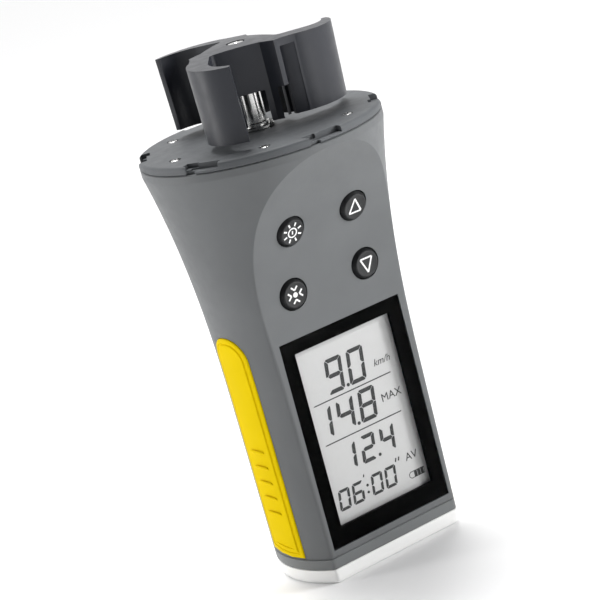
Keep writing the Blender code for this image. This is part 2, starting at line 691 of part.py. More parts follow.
def make_spring(name, x, y, low, high):
    """Conical contact spring that stands between two heights."""
    steps, sides, wire = 10, 5, SPRING_WIRE
    rings = []
    for i in range(int(SPRING_TURNS * steps) + 1):
        part = i / (SPRING_TURNS * steps)
        angle = 2.0 * math.pi * SPRING_TURNS * part
        radius = SPRING_BASE + (SPRING_TIP - SPRING_BASE) * part
        height = low + wire + (high - low - 2.0 * wire) * part
        loop = []
        for k in range(sides):
            swing = 2.0 * math.pi * k / sides
            reach = radius + wire * math.cos(swing)
            lift = wire * math.sin(swing)
            loop.append((x + reach * math.cos(angle), y + reach * math.sin(angle), height + lift))
        rings.append(loop)
    loft(name, rings, STEEL)


def make_batteries():
    """Tray with two cells and their contacts."""
    corner = (TRAY_HALF, TRAY_BACK, TRAY_HIGH)
    tray = box("battery_tray", (-TRAY_HALF, TRAY_FRONT, TRAY_LOW), corner, DECK_GREY)
    floor, ceiling = TRAY_LOW + TRAY_WALL, TRAY_HIGH - TRAY_WALL
    pocket_half = TRAY_HALF - 0.8 * TRAY_WALL
    corner = (pocket_half, FAR, ceiling)
    combine(tray, box("tray_pocket", (-pocket_half, TRAY_FRONT + TRAY_WALL, floor), corner))
    cell_high = CELL_LOW + CELL_LENGTH
    body = cell_high - NIPPLE_HEIGHT
    inner = CELL_RADIUS - CELL_EDGE
    cell = ((0, CELL_LOW), (inner, CELL_LOW), (CELL_RADIUS, CELL_LOW + CELL_EDGE),
            (CELL_RADIUS, body - CELL_EDGE), (inner, body), (NIPPLE_RADIUS, body),
            (NIPPLE_RADIUS, cell_high), (0, cell_high))
    for index, side in enumerate((-1, 1)):
        spot = Matrix.Translation((side * CELL_X, CELL_Y, 0.0))
        turned("battery_%d" % (index + 1), cell, CELL, 24, spot)
        make_spring("contact_spring_%d" % (index + 1), side * CELL_X, CELL_Y, floor + GAP, CELL_LOW - GAP)
    strip_low = cell_high + GAP
    box("contact_strip", (*STRIP_LOW, strip_low), (*STRIP_HIGH, strip_low + STRIP_THICK), STEEL)


def make_door():
    """Battery door, which carries on the housing's round back."""
    rings = []
    for z in (DOOR_LOW,) + DOOR_LEVELS + (DOOR_HIGH,):
        outer, inner = body_radius(z), body_radius(z) - WALL
        spread = [DOOR_HALF * (1.0 - 2.0 * i / 10) for i in range(11)]
        loop = [(x, math.sqrt(outer ** 2 - x ** 2), z) for x in spread]
        loop += [(x, math.sqrt(inner ** 2 - x ** 2), z) for x in reversed(spread)]
        rings.append(loop)
    loft("battery_door", rings, GREY)


# ---------------------------------------------------------------- base

def make_base():
    """Grey band with its lip, and the white foot."""
    outer, inner = WALL + GAP, WALL + GAP + BAND_LIP_WALL
    band_rings = [section(BAND_BOTTOM), section(BAND_TOP), section(BAND_TOP, outer),
                  section(BAND_LIP_TOP, outer), section(BAND_LIP_TOP, inner), section(BAND_TOP, inner)]
    band = loft("bottom_band", band_rings, DECK_GREY)
    foot_rings = [section(0.0, 1.5), section(0.5, 0.8), section(1.6, 0.25), section(BASE_TOP, 0.0)]
    foot = loft("base_plate", foot_rings, WHITE)
    combine(band, disc("band_insert_hole", INSERT_RADIUS + GAP, BASE_TOP - 1.0, 12.0))
    combine(foot, disc("foot_insert_hole", INSERT_RADIUS + GAP, -1.0, BASE_TOP + 1.0))
    make_base_fittings(band, foot)


def make_base_fittings(band, foot):
    """Threaded tripod insert and two screws, with their holes."""
    insert = ((SOCKET_RADIUS, INSERT_LOW), (INSERT_RADIUS, INSERT_LOW), (INSERT_RADIUS, INSERT_HIGH),
              (0, INSERT_HIGH), (0, SOCKET_END), (SOCKET_RADIUS, SOCKET_END))
    turned("tripod_insert", insert, BRASS)
    head_low, head_high = BASE_HEAD
    wide, narrow, sunk = BASE_HEAD_RADIUS + 0.4, BASE_SHANK + 0.4, head_high + GAP
    hole = ((0, -1.0), (wide, -1.0), (wide, sunk), (narrow, sunk), (narrow, 12.0), (0, 12.0))
    screw = ((0, head_low), (BASE_HEAD_RADIUS, head_low), (BASE_HEAD_RADIUS, head_high),
             (BASE_SHANK, head_high), (BASE_SHANK, BASE_SCREW_END - 0.5), (0, BASE_SCREW_END))
    for index, side in enumerate((-1, 1)):
        spot = Matrix.Translation((side * BASE_SCREW_X, BASE_SCREW_Y, 0.0))
        for target in (band, foot):
            combine(target, turned("%s_screw_hole_%d" % (target.name, index + 1), hole, steps=12, place=spot))
        turned("base_screw_%d" % (index + 1), screw, STEEL, 12, spot)


def group(name, pieces):
    """Empty on the Z axis that carries the pieces which move together."""
    carrier = bpy.data.objects.new(name, None)
    bpy.context.scene.collection.objects.link(carrier)
    for piece in pieces:
        bpy.data.objects[piece].parent = carrier


def main():
    """Build every piece."""
    make_housing()
    for name, side in (("left_grip", -1), ("right_grip", 1)):
        make_grip(name, side, 0.0, YELLOW)
    make_display()
    make_buttons()
    make_keypad()
    make_deck()
    make_sensor()
    make_rotor()
    make_batteries()
    make_door()
    make_base()
    group("rotor_axis", ("rotor_wheel", "rotor_bush", "hub_cap", "spindle", "retaining_clip", "rotor_magnet"))


for old in list(bpy.data.objects):
    bpy.data.objects.remove(old, do_unlink=True)
main()
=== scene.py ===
"""Looks of the hand-held vane anemometer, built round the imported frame.

Plan and height dimensions are in millimetres, in the frame's own axes: +Z up along the rotor's axis,
the display facing -Y. Meshes are made in metres.
"""
import math

import bmesh
import bpy
from mathutils import Matrix, Vector


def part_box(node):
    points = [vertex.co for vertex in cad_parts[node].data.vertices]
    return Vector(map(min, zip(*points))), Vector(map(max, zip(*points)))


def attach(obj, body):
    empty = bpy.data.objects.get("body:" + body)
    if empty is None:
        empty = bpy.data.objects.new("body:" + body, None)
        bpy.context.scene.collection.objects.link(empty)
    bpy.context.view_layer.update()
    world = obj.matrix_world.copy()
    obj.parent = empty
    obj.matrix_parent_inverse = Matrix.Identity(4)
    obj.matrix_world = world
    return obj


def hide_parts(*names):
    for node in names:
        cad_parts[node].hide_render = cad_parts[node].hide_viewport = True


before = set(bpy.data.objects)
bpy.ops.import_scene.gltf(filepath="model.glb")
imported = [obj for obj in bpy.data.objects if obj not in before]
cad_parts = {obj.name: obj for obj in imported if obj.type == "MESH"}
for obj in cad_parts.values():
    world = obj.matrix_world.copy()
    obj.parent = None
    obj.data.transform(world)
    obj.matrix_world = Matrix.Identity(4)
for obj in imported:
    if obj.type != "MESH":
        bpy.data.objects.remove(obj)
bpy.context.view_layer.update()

MM = 0.001
SEAM = 0.12                     # between outer pieces
MERGE = 1e-4                    # points closer than this are one
SHARP = 32.0                    # degrees; a sharper edge shows as a crease

# Outer form, as the frame has it
FOOT_RADIUS = 25.1
FLARE_START = 45.0
FLARE_HEIGHT = 69.0
FLARE_REACH = 5.85
FLARE_POWER = 2.6
SIDE_DRAFT = 0.012
RIM_RADIUS = 32.3
FRONT_DEPTH = 14.5
SWEEP_START = 60.0
SWEEP_HEIGHT = 54.4
SWEEP_REACH = 17.7
EDGE_SOFT = 1.3                 # rounding of the front edges beside the display
EDGE_DROP = 0.9                 # and how much crisper they are round the arch
EDGE_START = 55.0
EDGE_HEIGHT = 40.0
WALL = 2.0
ARC_STEPS = 112
CORNER_TURNS = 6


def low_of(node):
    """Lowest corner of a CAD node, in millimetres."""
    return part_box(node)[0] / MM


def high_of(node):
    """Highest corner of a CAD node, in millimetres."""
    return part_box(node)[1] / MM


BASE_TOP = high_of("base_plate").z
BAND_LOW = low_of("bottom_band").z
HOUSING_LOW = low_of("housing_shell").z
HOUSING_HIGH = high_of("housing_shell").z
DECK_HIGH = high_of("deck_plate").z
WINDOW_HALF = high_of("display_window").x
WINDOW_LOW = low_of("display_window").z
WINDOW_HIGH = high_of("display_window").z
ROTOR_LOW = low_of("rotor_wheel").z
ROTOR_HIGH = high_of("rotor_wheel").z
LCD_FACE = -low_of("lcd_panel").y

# Opening in the printed border of the display
VIEW_HALF = 15.4
VIEW_LOW = 14.2
VIEW_HIGH = 62.7
BORDER_FRONT = 14.35
BORDER_BACK = 13.4
PANE_BACK = 14.4
INK_LOW = 0.01                  # printed segments, above the panel
INK_HIGH = 0.05
WORD_LIFT = 0.03
WORD_HALF = 0.02                # half the thickness of a printed word

# Rows of figures: text, left, foot, width, height, stroke and pitch, then round marks as x, z and size
FIGURE_ROWS = {
    "lcd_speed": (("90", -7.5, 47.8, 5.4, 9.4, 1.12, 7.1), ((-1.0, 48.4, 1.0),)),
    "lcd_maximum": (("148", -14.4, 36.9, 5.4, 8.8, 1.12, 7.2), ((-0.8, 37.4, 1.0),)),
    "lcd_average": (("124", -9.1, 26.3, 4.6, 7.5, 1.05, 6.4), ((3.0, 26.9, 0.95),)),
    "lcd_timer": (("06 00", -13.2, 17.0, 3.7, 5.7, 0.8, 4.55), ((-3.4, 18.7, 0.8), (-3.2, 20.6, 0.8))),
}
# Straight strokes: start, end and width
STROKES = {
    "lcd_lines": (((-12.8, 46.7), (12.6, 46.7), 0.3), ((-12.4, 35.5), (12.8, 35.5), 0.3)),
    "lcd_marks": (((-3.8, 23.1), (-3.5, 23.8), 0.35), ((7.0, 23.0), (7.4, 24.0), 0.4),
                  ((8.0, 23.0), (8.4, 24.0), 0.4)),
}
# Printed words: text, left, foot, size and lean
WORDS = {
    "lcd_unit": ("km/h", 8.0, 49.9, 2.7, 0.3),
    "lcd_word_max": ("MAX", 7.7, 39.9, 3.1, 0.0),
    "lcd_word_av": ("AV", 10.3, 21.8, 3.1, 0.0),
}
BATTERY_SIGN = (10.2, 16.7)

BUTTONS = {
    "light": (-10.0, 94.6),
    "centre": (-11.6, 77.9),
    "up": (10.0, 94.6),
    "down": (11.6, 77.9),
}
BUTTON_RADIUS = 4.0
BUTTON_HOLE = 4.35
BUTTON_PROUD = 1.0
SIGN_STROKE = 0.44
FINE_STROKE = 0.36

# Battery door on the back
DOOR_HALF = 14.73
DOOR_LOW = 12.27
DOOR_HIGH = 65.73
DOOR_THICK = 2.0
PATCH_COLUMNS = 36
PATCH_ROWS = 24
GROOVE_COUNT = 5                # finger grooves
GROOVE_LOW = 55.0
GROOVE_PITCH = 1.7
CELL_RADIUS = 7.25

# Side grips
GRIP_HALF = 7.1
GRIP_LOW = 7.6
GRIP_TOP = 69.8
GRIP_CORNER = 6.4
RIB_COUNT = 5
RIB_HALF = 3.1
RIB_LOW = 20.0
RIB_PITCH = 4.4
RIB_SIZE = 0.5

SCREW_CIRCLE = 26.0
SCREW_ANGLES = (-120.0, -60.0, 0.0, 60.0, 120.0, 180.0)
NOTCH_ANGLES = (-150.0, -90.0, -30.0, 30.0, 90.0, 150.0)
BORE_RADIUS = 1.55
BORE_DEPTH = 1.3
CLEAR = 1.0                     # how far a cutter runs past the surface

SOCKET_RADIUS = 5.1
BASE_SCREW = (14.0, 4.0)
THREAD_TURNS = 7
THREAD_PITCH = 1.2

ROTOR_REST = -7.4
ROTOR_TIP_HIGH = 139.9
ROTOR_RADIUS = 27.0
VANE_CENTRE = (14.6, 0.3)
VANE_RADIUS = 12.3
CUP_CENTRE = (17.0, 2.8)
CUP_RADIUS = 8.8
CUP_CORNER = (10.1, -4.8)
CUP_CORNER_RADIUS = 1.4
ROTOR_DRAFT = 0.965
ROTOR_WALL = 1.2
ROTOR_PLATE = 1.3
HUB_CUT_HIGH = 128.7
ROTOR_ROUNDING = 0.22


# ---------------------------------------------------------------- outer form

def body_radius(z):
    """Radius of the round outer form at height z."""
    rise = max(0.0, z - FLARE_START) / FLARE_HEIGHT
    return min(RIM_RADIUS, FOOT_RADIUS + SIDE_DRAFT * z + FLARE_REACH * rise ** FLARE_POWER)


def front_depth(z):
    """Distance of the front surface from the axis at height z."""
    rise = max(0.0, z - SWEEP_START) / SWEEP_HEIGHT
    return FRONT_DEPTH + SWEEP_REACH * rise ** 3


def front_slope(z):
    """How fast the front surface comes forward with height."""
    rise = max(0.0, z - SWEEP_START) / SWEEP_HEIGHT
    return 3.0 * SWEEP_REACH * rise ** 2 / SWEEP_HEIGHT


def edge_radius(z):
    """Rounding of the edge between front and side: soft beside the display, crisp round the arch."""
    part = min(1.0, max(0.0, (z - EDGE_START) / EDGE_HEIGHT))
    return EDGE_SOFT - EDGE_DROP * part * part * (3.0 - 2.0 * part)


def section(z, inset=0.0):
    """Closed outline at height z: a circle cut straight across the front, with rounded corners."""
    radius = body_radius(z) - inset
    depth = front_depth(z) - inset
    blend = edge_radius(z)
    least, bow = 0.5, 0.9
    half = math.sqrt(max(0.0, (radius - blend) ** 2 - (min(depth, radius) - blend) ** 2))
    parts = [i / CORNER_TURNS for i in range(CORNER_TURNS + 1)]
    if depth >= radius or half < least:
        start = -math.pi / 2 + (least + bow) / radius
        angles = [-math.pi / 2 + (least + bow * part) / radius for part in parts]
        corner = [(radius * math.cos(a), radius * math.sin(a)) for a in angles]
    else:
        start = math.atan2(-(depth - blend), half)
        angles = [-math.pi / 2 + (start + math.pi / 2) * part for part in parts]
        corner = [(half + blend * math.cos(a), -depth + blend + blend * math.sin(a)) for a in angles]
    sweep = math.pi - 2.0 * start
    turns = [start + sweep * i / ARC_STEPS for i in range(1, ARC_STEPS)]
    arc = [(radius * math.cos(a), radius * math.sin(a)) for a in turns]
    edge_x, edge_y = corner[0]
    inner = max(0.2, edge_x - least)
    flat = [(-inner, edge_y), (0.0, edge_y), (inner, edge_y)]
    outline = corner + arc + [(-x, y) for x, y in reversed(corner)] + flat
    return [(x, y, z) for x, y in outline]


def spread(low, high, count):
    """Evenly spaced heights, both ends included."""
    return [low + (high - low) * i / (count - 1) for i in range(count)]


# ---------------------------------------------------------------- mesh tools

def add_object(name, data, place=None):
    """Put a new object in the scene, standing at place."""
    made = bpy.data.objects.new(name, data)
    if place is not None:
        made.matrix_world = place
    bpy.context.scene.collection.objects.link(made)
    return made


def finish_mesh(name, mesh_data, place=None, sharp=SHARP, merge=True):
    """Turn a bmesh in millimetres into a smooth-shaded object in metres."""
    if merge:
        bmesh.ops.remove_doubles(mesh_data, verts=mesh_data.verts, dist=MERGE)
    bmesh.ops.recalc_face_normals(mesh_data, faces=mesh_data.faces)
    if place is not None:
        bmesh.ops.transform(mesh_data, matrix=place, verts=mesh_data.verts)
    bmesh.ops.scale(mesh_data, vec=(MM, MM, MM), verts=mesh_data.verts)
    mesh = bpy.data.meshes.new(name)
    mesh_data.to_mesh(mesh)
    mesh_data.free()
    mesh.shade_smooth()
    mesh.set_sharp_from_angle(angle=math.radians(sharp))
    return add_object(name, mesh)


def skin(mesh_data, lower, upper):
    """Join two loops of points with a band of quads."""
    count = len(lower)
    for i in range(count):
        j = (i + 1) % count
        mesh_data.faces.new((lower[i], lower[j], upper[j], upper[i]))


def loft(name, rings, ends_meet=False, place=None, sharp=SHARP):
    """Skin closed outlines one after another, then cap both ends or join them to each other."""
    mesh_data = bmesh.new()
    loops = [[mesh_data.verts.new(point) for point in ring] for ring in rings]
    for lower, upper in zip(loops, loops[1:]):
        skin(mesh_data, lower, upper)
    if ends_meet:
        skin(mesh_data, loops[-1], loops[0])
    else:
        mesh_data.faces.new(list(reversed(loops[0])))
        mesh_data.faces.new(loops[-1])
    return finish_mesh(name, mesh_data, place, sharp)


def prism(name, outline, low, high, place=None, foot=1.0):
    """Extrude an outline upwards; foot scales the bottom outline."""
    rings = [[(x * foot, y * foot, low) for x, y in outline], [(x, y, high) for x, y in outline]]
    return loft(name, rings, place=place)


def turned(name, profile, steps=64, place=None):
    """Spin a closed profile of (radius, height) points about the Z axis."""
    mesh_data = bmesh.new()
    points = [mesh_data.verts.new((radius, 0.0, height)) for radius, height in profile]
    edges = [mesh_data.edges.new((a, b)) for a, b in zip(points, points[1:] + points[:1])
             if a.co.x > 0.0 or b.co.x > 0.0]
    bmesh.ops.spin(mesh_data, geom=points + edges, cent=(0, 0, 0), axis=(0, 0, 1),
                   angle=2.0 * math.pi, steps=steps, use_merge=True)
    return finish_mesh(name, mesh_data, place)


def disc(name, radius, low, high, steps=64, place=None):
    """A plain round bar."""
    return turned(name, ((0, low), (radius, low), (radius, high), (0, high)), steps, place)


def box(name, low, high, place=None, bevel=0.0):
    """A box between two corners, with rounded edges when bevel is given."""
    mesh_data = bmesh.new()
    bmesh.ops.create_cube(mesh_data, size=1.0)
    size = [b - a for a, b in zip(low, high)]
    middle = [(a + b) / 2.0 for a, b in zip(low, high)]
    bmesh.ops.scale(mesh_data, vec=size, verts=mesh_data.verts)
    bmesh.ops.translate(mesh_data, vec=middle, verts=mesh_data.verts)
    if bevel:
        bmesh.ops.bevel(mesh_data, geom=mesh_data.edges[:], offset=bevel, segments=3, profile=0.5,
                        affect="EDGES")
    return finish_mesh(name, mesh_data, place)


def carve(target, tools, operation="DIFFERENCE"):
    """Cut away the tools, or keep only what they share; the tools go and the target keeps the result."""
    for tool in tools:
        step = target.modifiers.new(tool.name, "BOOLEAN")
        step.operation = operation
        step.object = tool
        step.solver = "EXACT"
    settle(target, SHARP)
    for tool in tools:
        bpy.data.objects.remove(tool, do_unlink=True)


def settle(target, sharp):
    """Apply an object's modifiers."""
    bpy.context.view_layer.update()
    evaluated = target.evaluated_get(bpy.context.evaluated_depsgraph_get())
    mesh = bpy.data.meshes.new_from_object(evaluated)
    mesh.shade_smooth()
    mesh.set_sharp_from_angle(angle=math.radians(sharp))
    target.modifiers.clear()
    target.data = mesh


def soften(target, width, angle, sharp):
    """Round off the edges of a settled mesh that turn by more than the angle."""
    step = target.modifiers.new("soft_edges", "BEVEL")
    step.width = width * MM
    step.segments = 2
    step.limit_method = "ANGLE"
    step.angle_limit = math.radians(angle)
    step.harden_normals = False
    settle(target, sharp)


def about_z(degrees, radius=0.0):
    """Place a thing at a radius along X and turn the whole about the Z axis."""
    return Matrix.Rotation(math.radians(degrees), 4, "Z") @ Matrix.Translation((radius, 0.0, 0.0))


def facing(origin, normal):
    """Frame at origin whose Z axis is normal and whose Y axis points as far up as it can."""
    outward = Vector(normal).normalized()
    across = Vector((0, 0, 1)).cross(outward).normalized()
    up = outward.cross(across)
    turn = Matrix((across, up, outward)).transposed().to_4x4()
    return Matrix.Translation(origin) @ turn


def arc_points(centre, radius, start, end, steps):
    """Points along an arc, both ends included, angles in degrees."""
    angles = [math.radians(start + (end - start) * i / steps) for i in range(steps + 1)]
    return [(centre[0] + radius * math.cos(a), centre[1] + radius * math.sin(a)) for a in angles]


def turned_point(point, degrees):
    """Rotate a plan point about the axis."""
    angle = math.radians(degrees)
    return (point[0] * math.cos(angle) - point[1] * math.sin(angle),
            point[0] * math.sin(angle) + point[1] * math.cos(angle))


def plates(name, outlines, low, high, place):
    """Thin raised shapes in one mesh, each a closed plan outline."""
    mesh_data = bmesh.new()
    for outline in outlines:
        bottom = [mesh_data.verts.new((x, y, low)) for x, y in outline]
        top = [mesh_data.verts.new((x, y, high)) for x, y in outline]
        skin(mesh_data, bottom, top)
        mesh_data.faces.new(list(reversed(bottom)))
        mesh_data.faces.new(top)
    return finish_mesh(name, mesh_data, place, merge=False)


def bar(a, b, width):
    """Outline of a straight stroke from a to b."""
    along = (Vector(b) - Vector(a)).normalized()
    side = Vector((-along.y, along.x)) * width / 2.0
    corners = (Vector(a) - side, Vector(b) - side, Vector(b) + side, Vector(a) + side)
    return [tuple(corner) for corner in corners]


# ---------------------------------------------------------------- materials

def node(tree, kind, **settings):
    """Add a shader node and set its sockets and properties by name."""
    made = tree.nodes.new(kind)
    for key, value in settings.items():
        if key in made.inputs:
            made.inputs[key].default_value = value
        else:
            setattr(made, key, value)
    return made


def new_material(name, colour, roughness, metallic=0.0, **sockets):
    """A Principled material with its uniform values on the shader itself."""
    made = bpy.data.materials.new(name)
    made.use_nodes = True
    shader = made.node_tree.nodes["Principled BSDF"]
    shader.inputs["Base Color"].default_value = (*colour, 1.0)
    shader.inputs["Roughness"].default_value = roughness
    shader.inputs["Metallic"].default_value = metallic
    for key, value in sockets.items():
        shader.inputs[key.replace("_", " ")].default_value = value
    return made, made.node_tree, shader


def noise(tree, scale, detail=2.0, rough=0.5, stretch=None):
    """Noise in the object's own coordinates, scale in cells per metre."""
    where = tree.nodes.new("ShaderNodeTexCoord")
    made = node(tree, "ShaderNodeTexNoise", Scale=scale, Detail=detail, Roughness=rough)
    if stretch:
        squeeze = tree.nodes.new("ShaderNodeMapping")
        squeeze.inputs["Scale"].default_value = stretch
        tree.links.new(where.outputs["Object"], squeeze.inputs["Vector"])
        tree.links.new(squeeze.outputs["Vector"], made.inputs["Vector"])
    else:
        tree.links.new(where.outputs["Object"], made.inputs["Vector"])
    return made


def remap(tree, source, low, high):
    """Spread the middle of a noise's values over a new range."""
    made = node(tree, "ShaderNodeMapRange")
    made.inputs["To Min"].default_value = low
    made.inputs["To Max"].default_value = high
    made.inputs["From Min"].default_value = 0.3
    made.inputs["From Max"].default_value = 0.7
    tree.links.new(source, made.inputs["Value"])
    return made.outputs["Result"]


def tint(tree, factor, first, second):
    """Mix two colours by a factor."""
    made = node(tree, "ShaderNodeMix", data_type="RGBA")
    made.inputs[6].default_value = (*first, 1.0)
    made.inputs[7].default_value = (*second, 1.0)
    tree.links.new(factor, made.inputs[0])
    return made.outputs[2]


def bump(tree, shader, height, distance):
    """Raise the surface by a height texture; distance in metres."""
    made = node(tree, "ShaderNodeBump", Strength=1.0, Distance=distance)
    tree.links.new(height, made.inputs["Height"])
    tree.links.new(made.outputs["Normal"], shader.inputs["Normal"])


def moulded(name, colour, roughness, grain=2600.0, depth=0.00002, vary=0.06, **sockets):
    """Injection-moulded plastic or rubber: fine grain, soft drift of colour and of gloss."""
    made, tree, shader = new_material(name, colour, roughness, **sockets)
    drift = noise(tree, 55.0, 3.0)
    darker = [c * (1.0 - vary) for c in colour]
    lighter = [min(1.0, c * (1.0 + vary)) for c in colour]
    factor = remap(tree, drift.outputs["Fac"], 0.0, 1.0)
    tree.links.new(tint(tree, factor, darker, lighter), shader.inputs["Base Color"])
    gloss = noise(tree, 400.0, 4.0)
    tree.links.new(remap(tree, gloss.outputs["Fac"], roughness - 0.05, roughness + 0.05),
                   shader.inputs["Roughness"])
    fine = noise(tree, grain, 3.0, 0.6)
    bump(tree, shader, fine.outputs["Fac"], depth)
    return made


def metal(name, colour, roughness):
    """Turned or drawn metal with fine rings across its axis."""
    made, tree, shader = new_material(name, colour, roughness, 1.0)
    lines = noise(tree, 900.0, 3.0, 0.6, (1.0, 1.0, 14.0))
    gloss = remap(tree, lines.outputs["Fac"], roughness * 0.6, roughness * 1.5)
    tree.links.new(gloss, shader.inputs["Roughness"])
    bump(tree, shader, lines.outputs["Fac"], 0.000006)
    return made


def printed_board():
    """Green solder mask with faint copper tracks under it."""
    made, tree, shader = new_material("printed_board", (0.012, 0.11, 0.045), 0.35)
    tracks = node(tree, "ShaderNodeTexVoronoi", Scale=450.0, distance="MANHATTAN")
    where = tree.nodes.new("ShaderNodeTexCoord")
    tree.links.new(where.outputs["Object"], tracks.inputs["Vector"])
    factor = remap(tree, tracks.outputs["Distance"], 0.0, 1.0)
    tree.links.new(tint(tree, factor, (0.01, 0.16, 0.06), (0.008, 0.08, 0.035)), shader.inputs["Base Color"])
    bump(tree, shader, tracks.outputs["Distance"], 0.00003)
    return made


def cell_wrap():
    """Printed sleeve of a battery: dark body and a plain light band above 48 mm."""
    made, tree, shader = new_material("cell_wrap", (0.02, 0.05, 0.16), 0.25, 0.3)
    where = tree.nodes.new("ShaderNodeTexCoord")
    split = tree.nodes.new("ShaderNodeSeparateXYZ")
    tree.links.new(where.outputs["Object"], split.inputs[0])
    edge = node(tree, "ShaderNodeMapRange", interpolation_type="SMOOTHSTEP")
    edge.inputs["From Min"].default_value = 0.0478
    edge.inputs["From Max"].default_value = 0.0482
    tree.links.new(split.outputs["Z"], edge.inputs["Value"])
    tree.links.new(tint(tree, edge.outputs["Result"], (0.02, 0.05, 0.16), (0.55, 0.56, 0.58)),
                   shader.inputs["Base Color"])
    grain = noise(tree, 1500.0)
    bump(tree, shader, grain.outputs["Fac"], 0.00001)
    return made


GREY = moulded("housing_plastic", (0.126, 0.132, 0.136), 0.5, Specular_IOR_Level=0.3)
DECK_GREY = moulded("deck_plastic", (0.094, 0.100, 0.106), 0.55, vary=0.08, Specular_IOR_Level=0.3)
ROTOR_DARK = moulded("rotor_plastic", (0.017, 0.019, 0.026), 0.38, depth=0.000012, vary=0.03,
                     Specular_IOR_Level=0.4)
KEY_DARK = moulded("key_rubber", (0.012, 0.013, 0.014), 0.5, grain=3600.0, depth=0.00006,
                   Specular_IOR_Level=0.4)
YELLOW = moulded("grip_rubber", (0.76, 0.55, 0.0005), 0.65, grain=3200.0, vary=0.03,
                 Specular_IOR_Level=0.03)
WHITE = moulded("foot_plastic", (0.87, 0.87, 0.86), 0.38, vary=0.015)
BAND_GREY = moulded("band_plastic", (0.140, 0.148, 0.150), 0.45)
BLACK = moulded("border_print", (0.0006, 0.0006, 0.0006), 0.3, depth=0.000001, vary=0.3,
                Specular_IOR_Level=0.01)
CHIP = moulded("chip_resin", (0.012, 0.012, 0.012), 0.5)
SEAL = moulded("seal_rubber", (0.015, 0.015, 0.015), 0.7)
STEEL = metal("steel", (0.62, 0.62, 0.61), 0.18)
BRASS = metal("brass", (0.72, 0.52, 0.24), 0.28)
BOARD = printed_board()
WRAP = cell_wrap()


def lcd_materials():
    """Matt grey reflector of the display, and its dark segments."""
    grey = (0.56, 0.562, 0.56)
    sheet, tree, shader = new_material("lcd_reflector", grey, 0.45, Specular_IOR_Level=0.3)
    speckle = noise(tree, 5200.0, 1.0)
    factor = remap(tree, speckle.outputs["Fac"], 0.0, 1.0)
    mixed = tint(tree, factor, (0.575, 0.578, 0.575), (0.62, 0.622, 0.62))
    tree.links.new(mixed, shader.inputs["Base Color"])
    ink, tree, shader = new_material("lcd_segment", (0.050, 0.051, 0.052), 0.4, Specular_IOR_Level=0.2)
    cloud = noise(tree, 900.0, 1.0)
    factor = remap(tree, cloud.outputs["Fac"], 0.0, 1.0)
    mixed = tint(tree, factor, (0.042, 0.043, 0.044), (0.058, 0.059, 0.060))
    tree.links.new(mixed, shader.inputs["Base Color"])
    return sheet, ink


LCD, LCD_INK = lcd_materials()
ICON = moulded("icon_print", (0.86, 0.86, 0.86), 0.5, vary=0.02)


def pane_material():
    """Clear display window, nearly invisible but for its reflection."""
    made, tree, shader = new_material("clear_window", (0.004, 0.005, 0.005), 0.04, Alpha=0.035,
                                      Specular_IOR_Level=0.3)
    smear = noise(tree, 180.0, 2.0)
    tree.links.new(remap(tree, smear.outputs["Fac"], 0.03, 0.06), shader.inputs["Roughness"])
    return made


PANE = pane_material()


def place_piece(piece, body, finish, slot, *nodes):
    """Give a piece its material, the body it rides on and the CAD nodes it stands for; the slot is not used.
    """
    piece.data.materials.clear()
    piece.data.materials.append(finish)
    if nodes:
        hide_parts(*nodes)
    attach(piece, body)


# ---------------------------------------------------------------- housing

def button_frame(name):
    """Frame on the front surface at a button, Z pointing out of it."""
    x, z = BUTTONS[name]
    return facing((x, -front_depth(z), z), (0.0, -1.0, -front_slope(z)))


def grip_outline(margin):
    """Outline of a grip as (distance round the body, height), running once round it."""
    half, low, top, corner = GRIP_HALF + margin, GRIP_LOW - margin, GRIP_TOP + margin, GRIP_CORNER + margin
    straight_low, straight_high, count = low + 4.0, top - corner - 4.0, 14
    foot = [(-half, low + 0.8), (-half / 3, low + 0.4), (half / 3, low), (half, low)]
    rise = [(half, z) for z in spread(straight_low, straight_high, count)]
    fall = [(-half, z) for z in spread(straight_high, straight_low, count)]
    round_top = arc_points((half - corner, top - corner), corner, 0, 90, 10)
    round_back = arc_points((-half + corner, top - corner), corner, 90, 180, 10)
    return foot + rise + round_top + round_back + fall


def on_side(side, distance, z, lift):
    """Point on the side of the housing, lifted off it."""
    reach = body_radius(z) + lift
    angle = -distance / body_radius(z)
    return (side * reach * math.cos(angle), reach * math.sin(angle), z)


def pad(name, side, steps):
    """Curved pad on the side of the housing; steps are (spread of its outline, lift) pairs."""
    mesh_data = bmesh.new()
    loops = []
    for margin, lift in steps:
        outline = [on_side(side, distance, z, lift) for distance, z in grip_outline(margin)]
        loops.append([mesh_data.verts.new(point) for point in outline])
    for lower, upper in zip(loops, loops[1:]):
        skin(mesh_data, lower, upper)
    for loop in (loops[0], loops[-1]):
        close_strip(mesh_data, loop)
    return finish_mesh(name, mesh_data, sharp=28.0)


def close_strip(mesh_data, loop):
    """Fill an outline that is symmetrical about its middle with rows of quads."""
    mesh_data.faces.new(loop[0:4])
    left, right = len(loop), 3
    while left - right > 1:
        a, b = loop[left % len(loop)], loop[right]
        c, d = loop[left - 1], loop[right + 1]
        mesh_data.faces.new((a, b, c) if c is d else (a, b, d, c))
        left -= 1
        right += 1


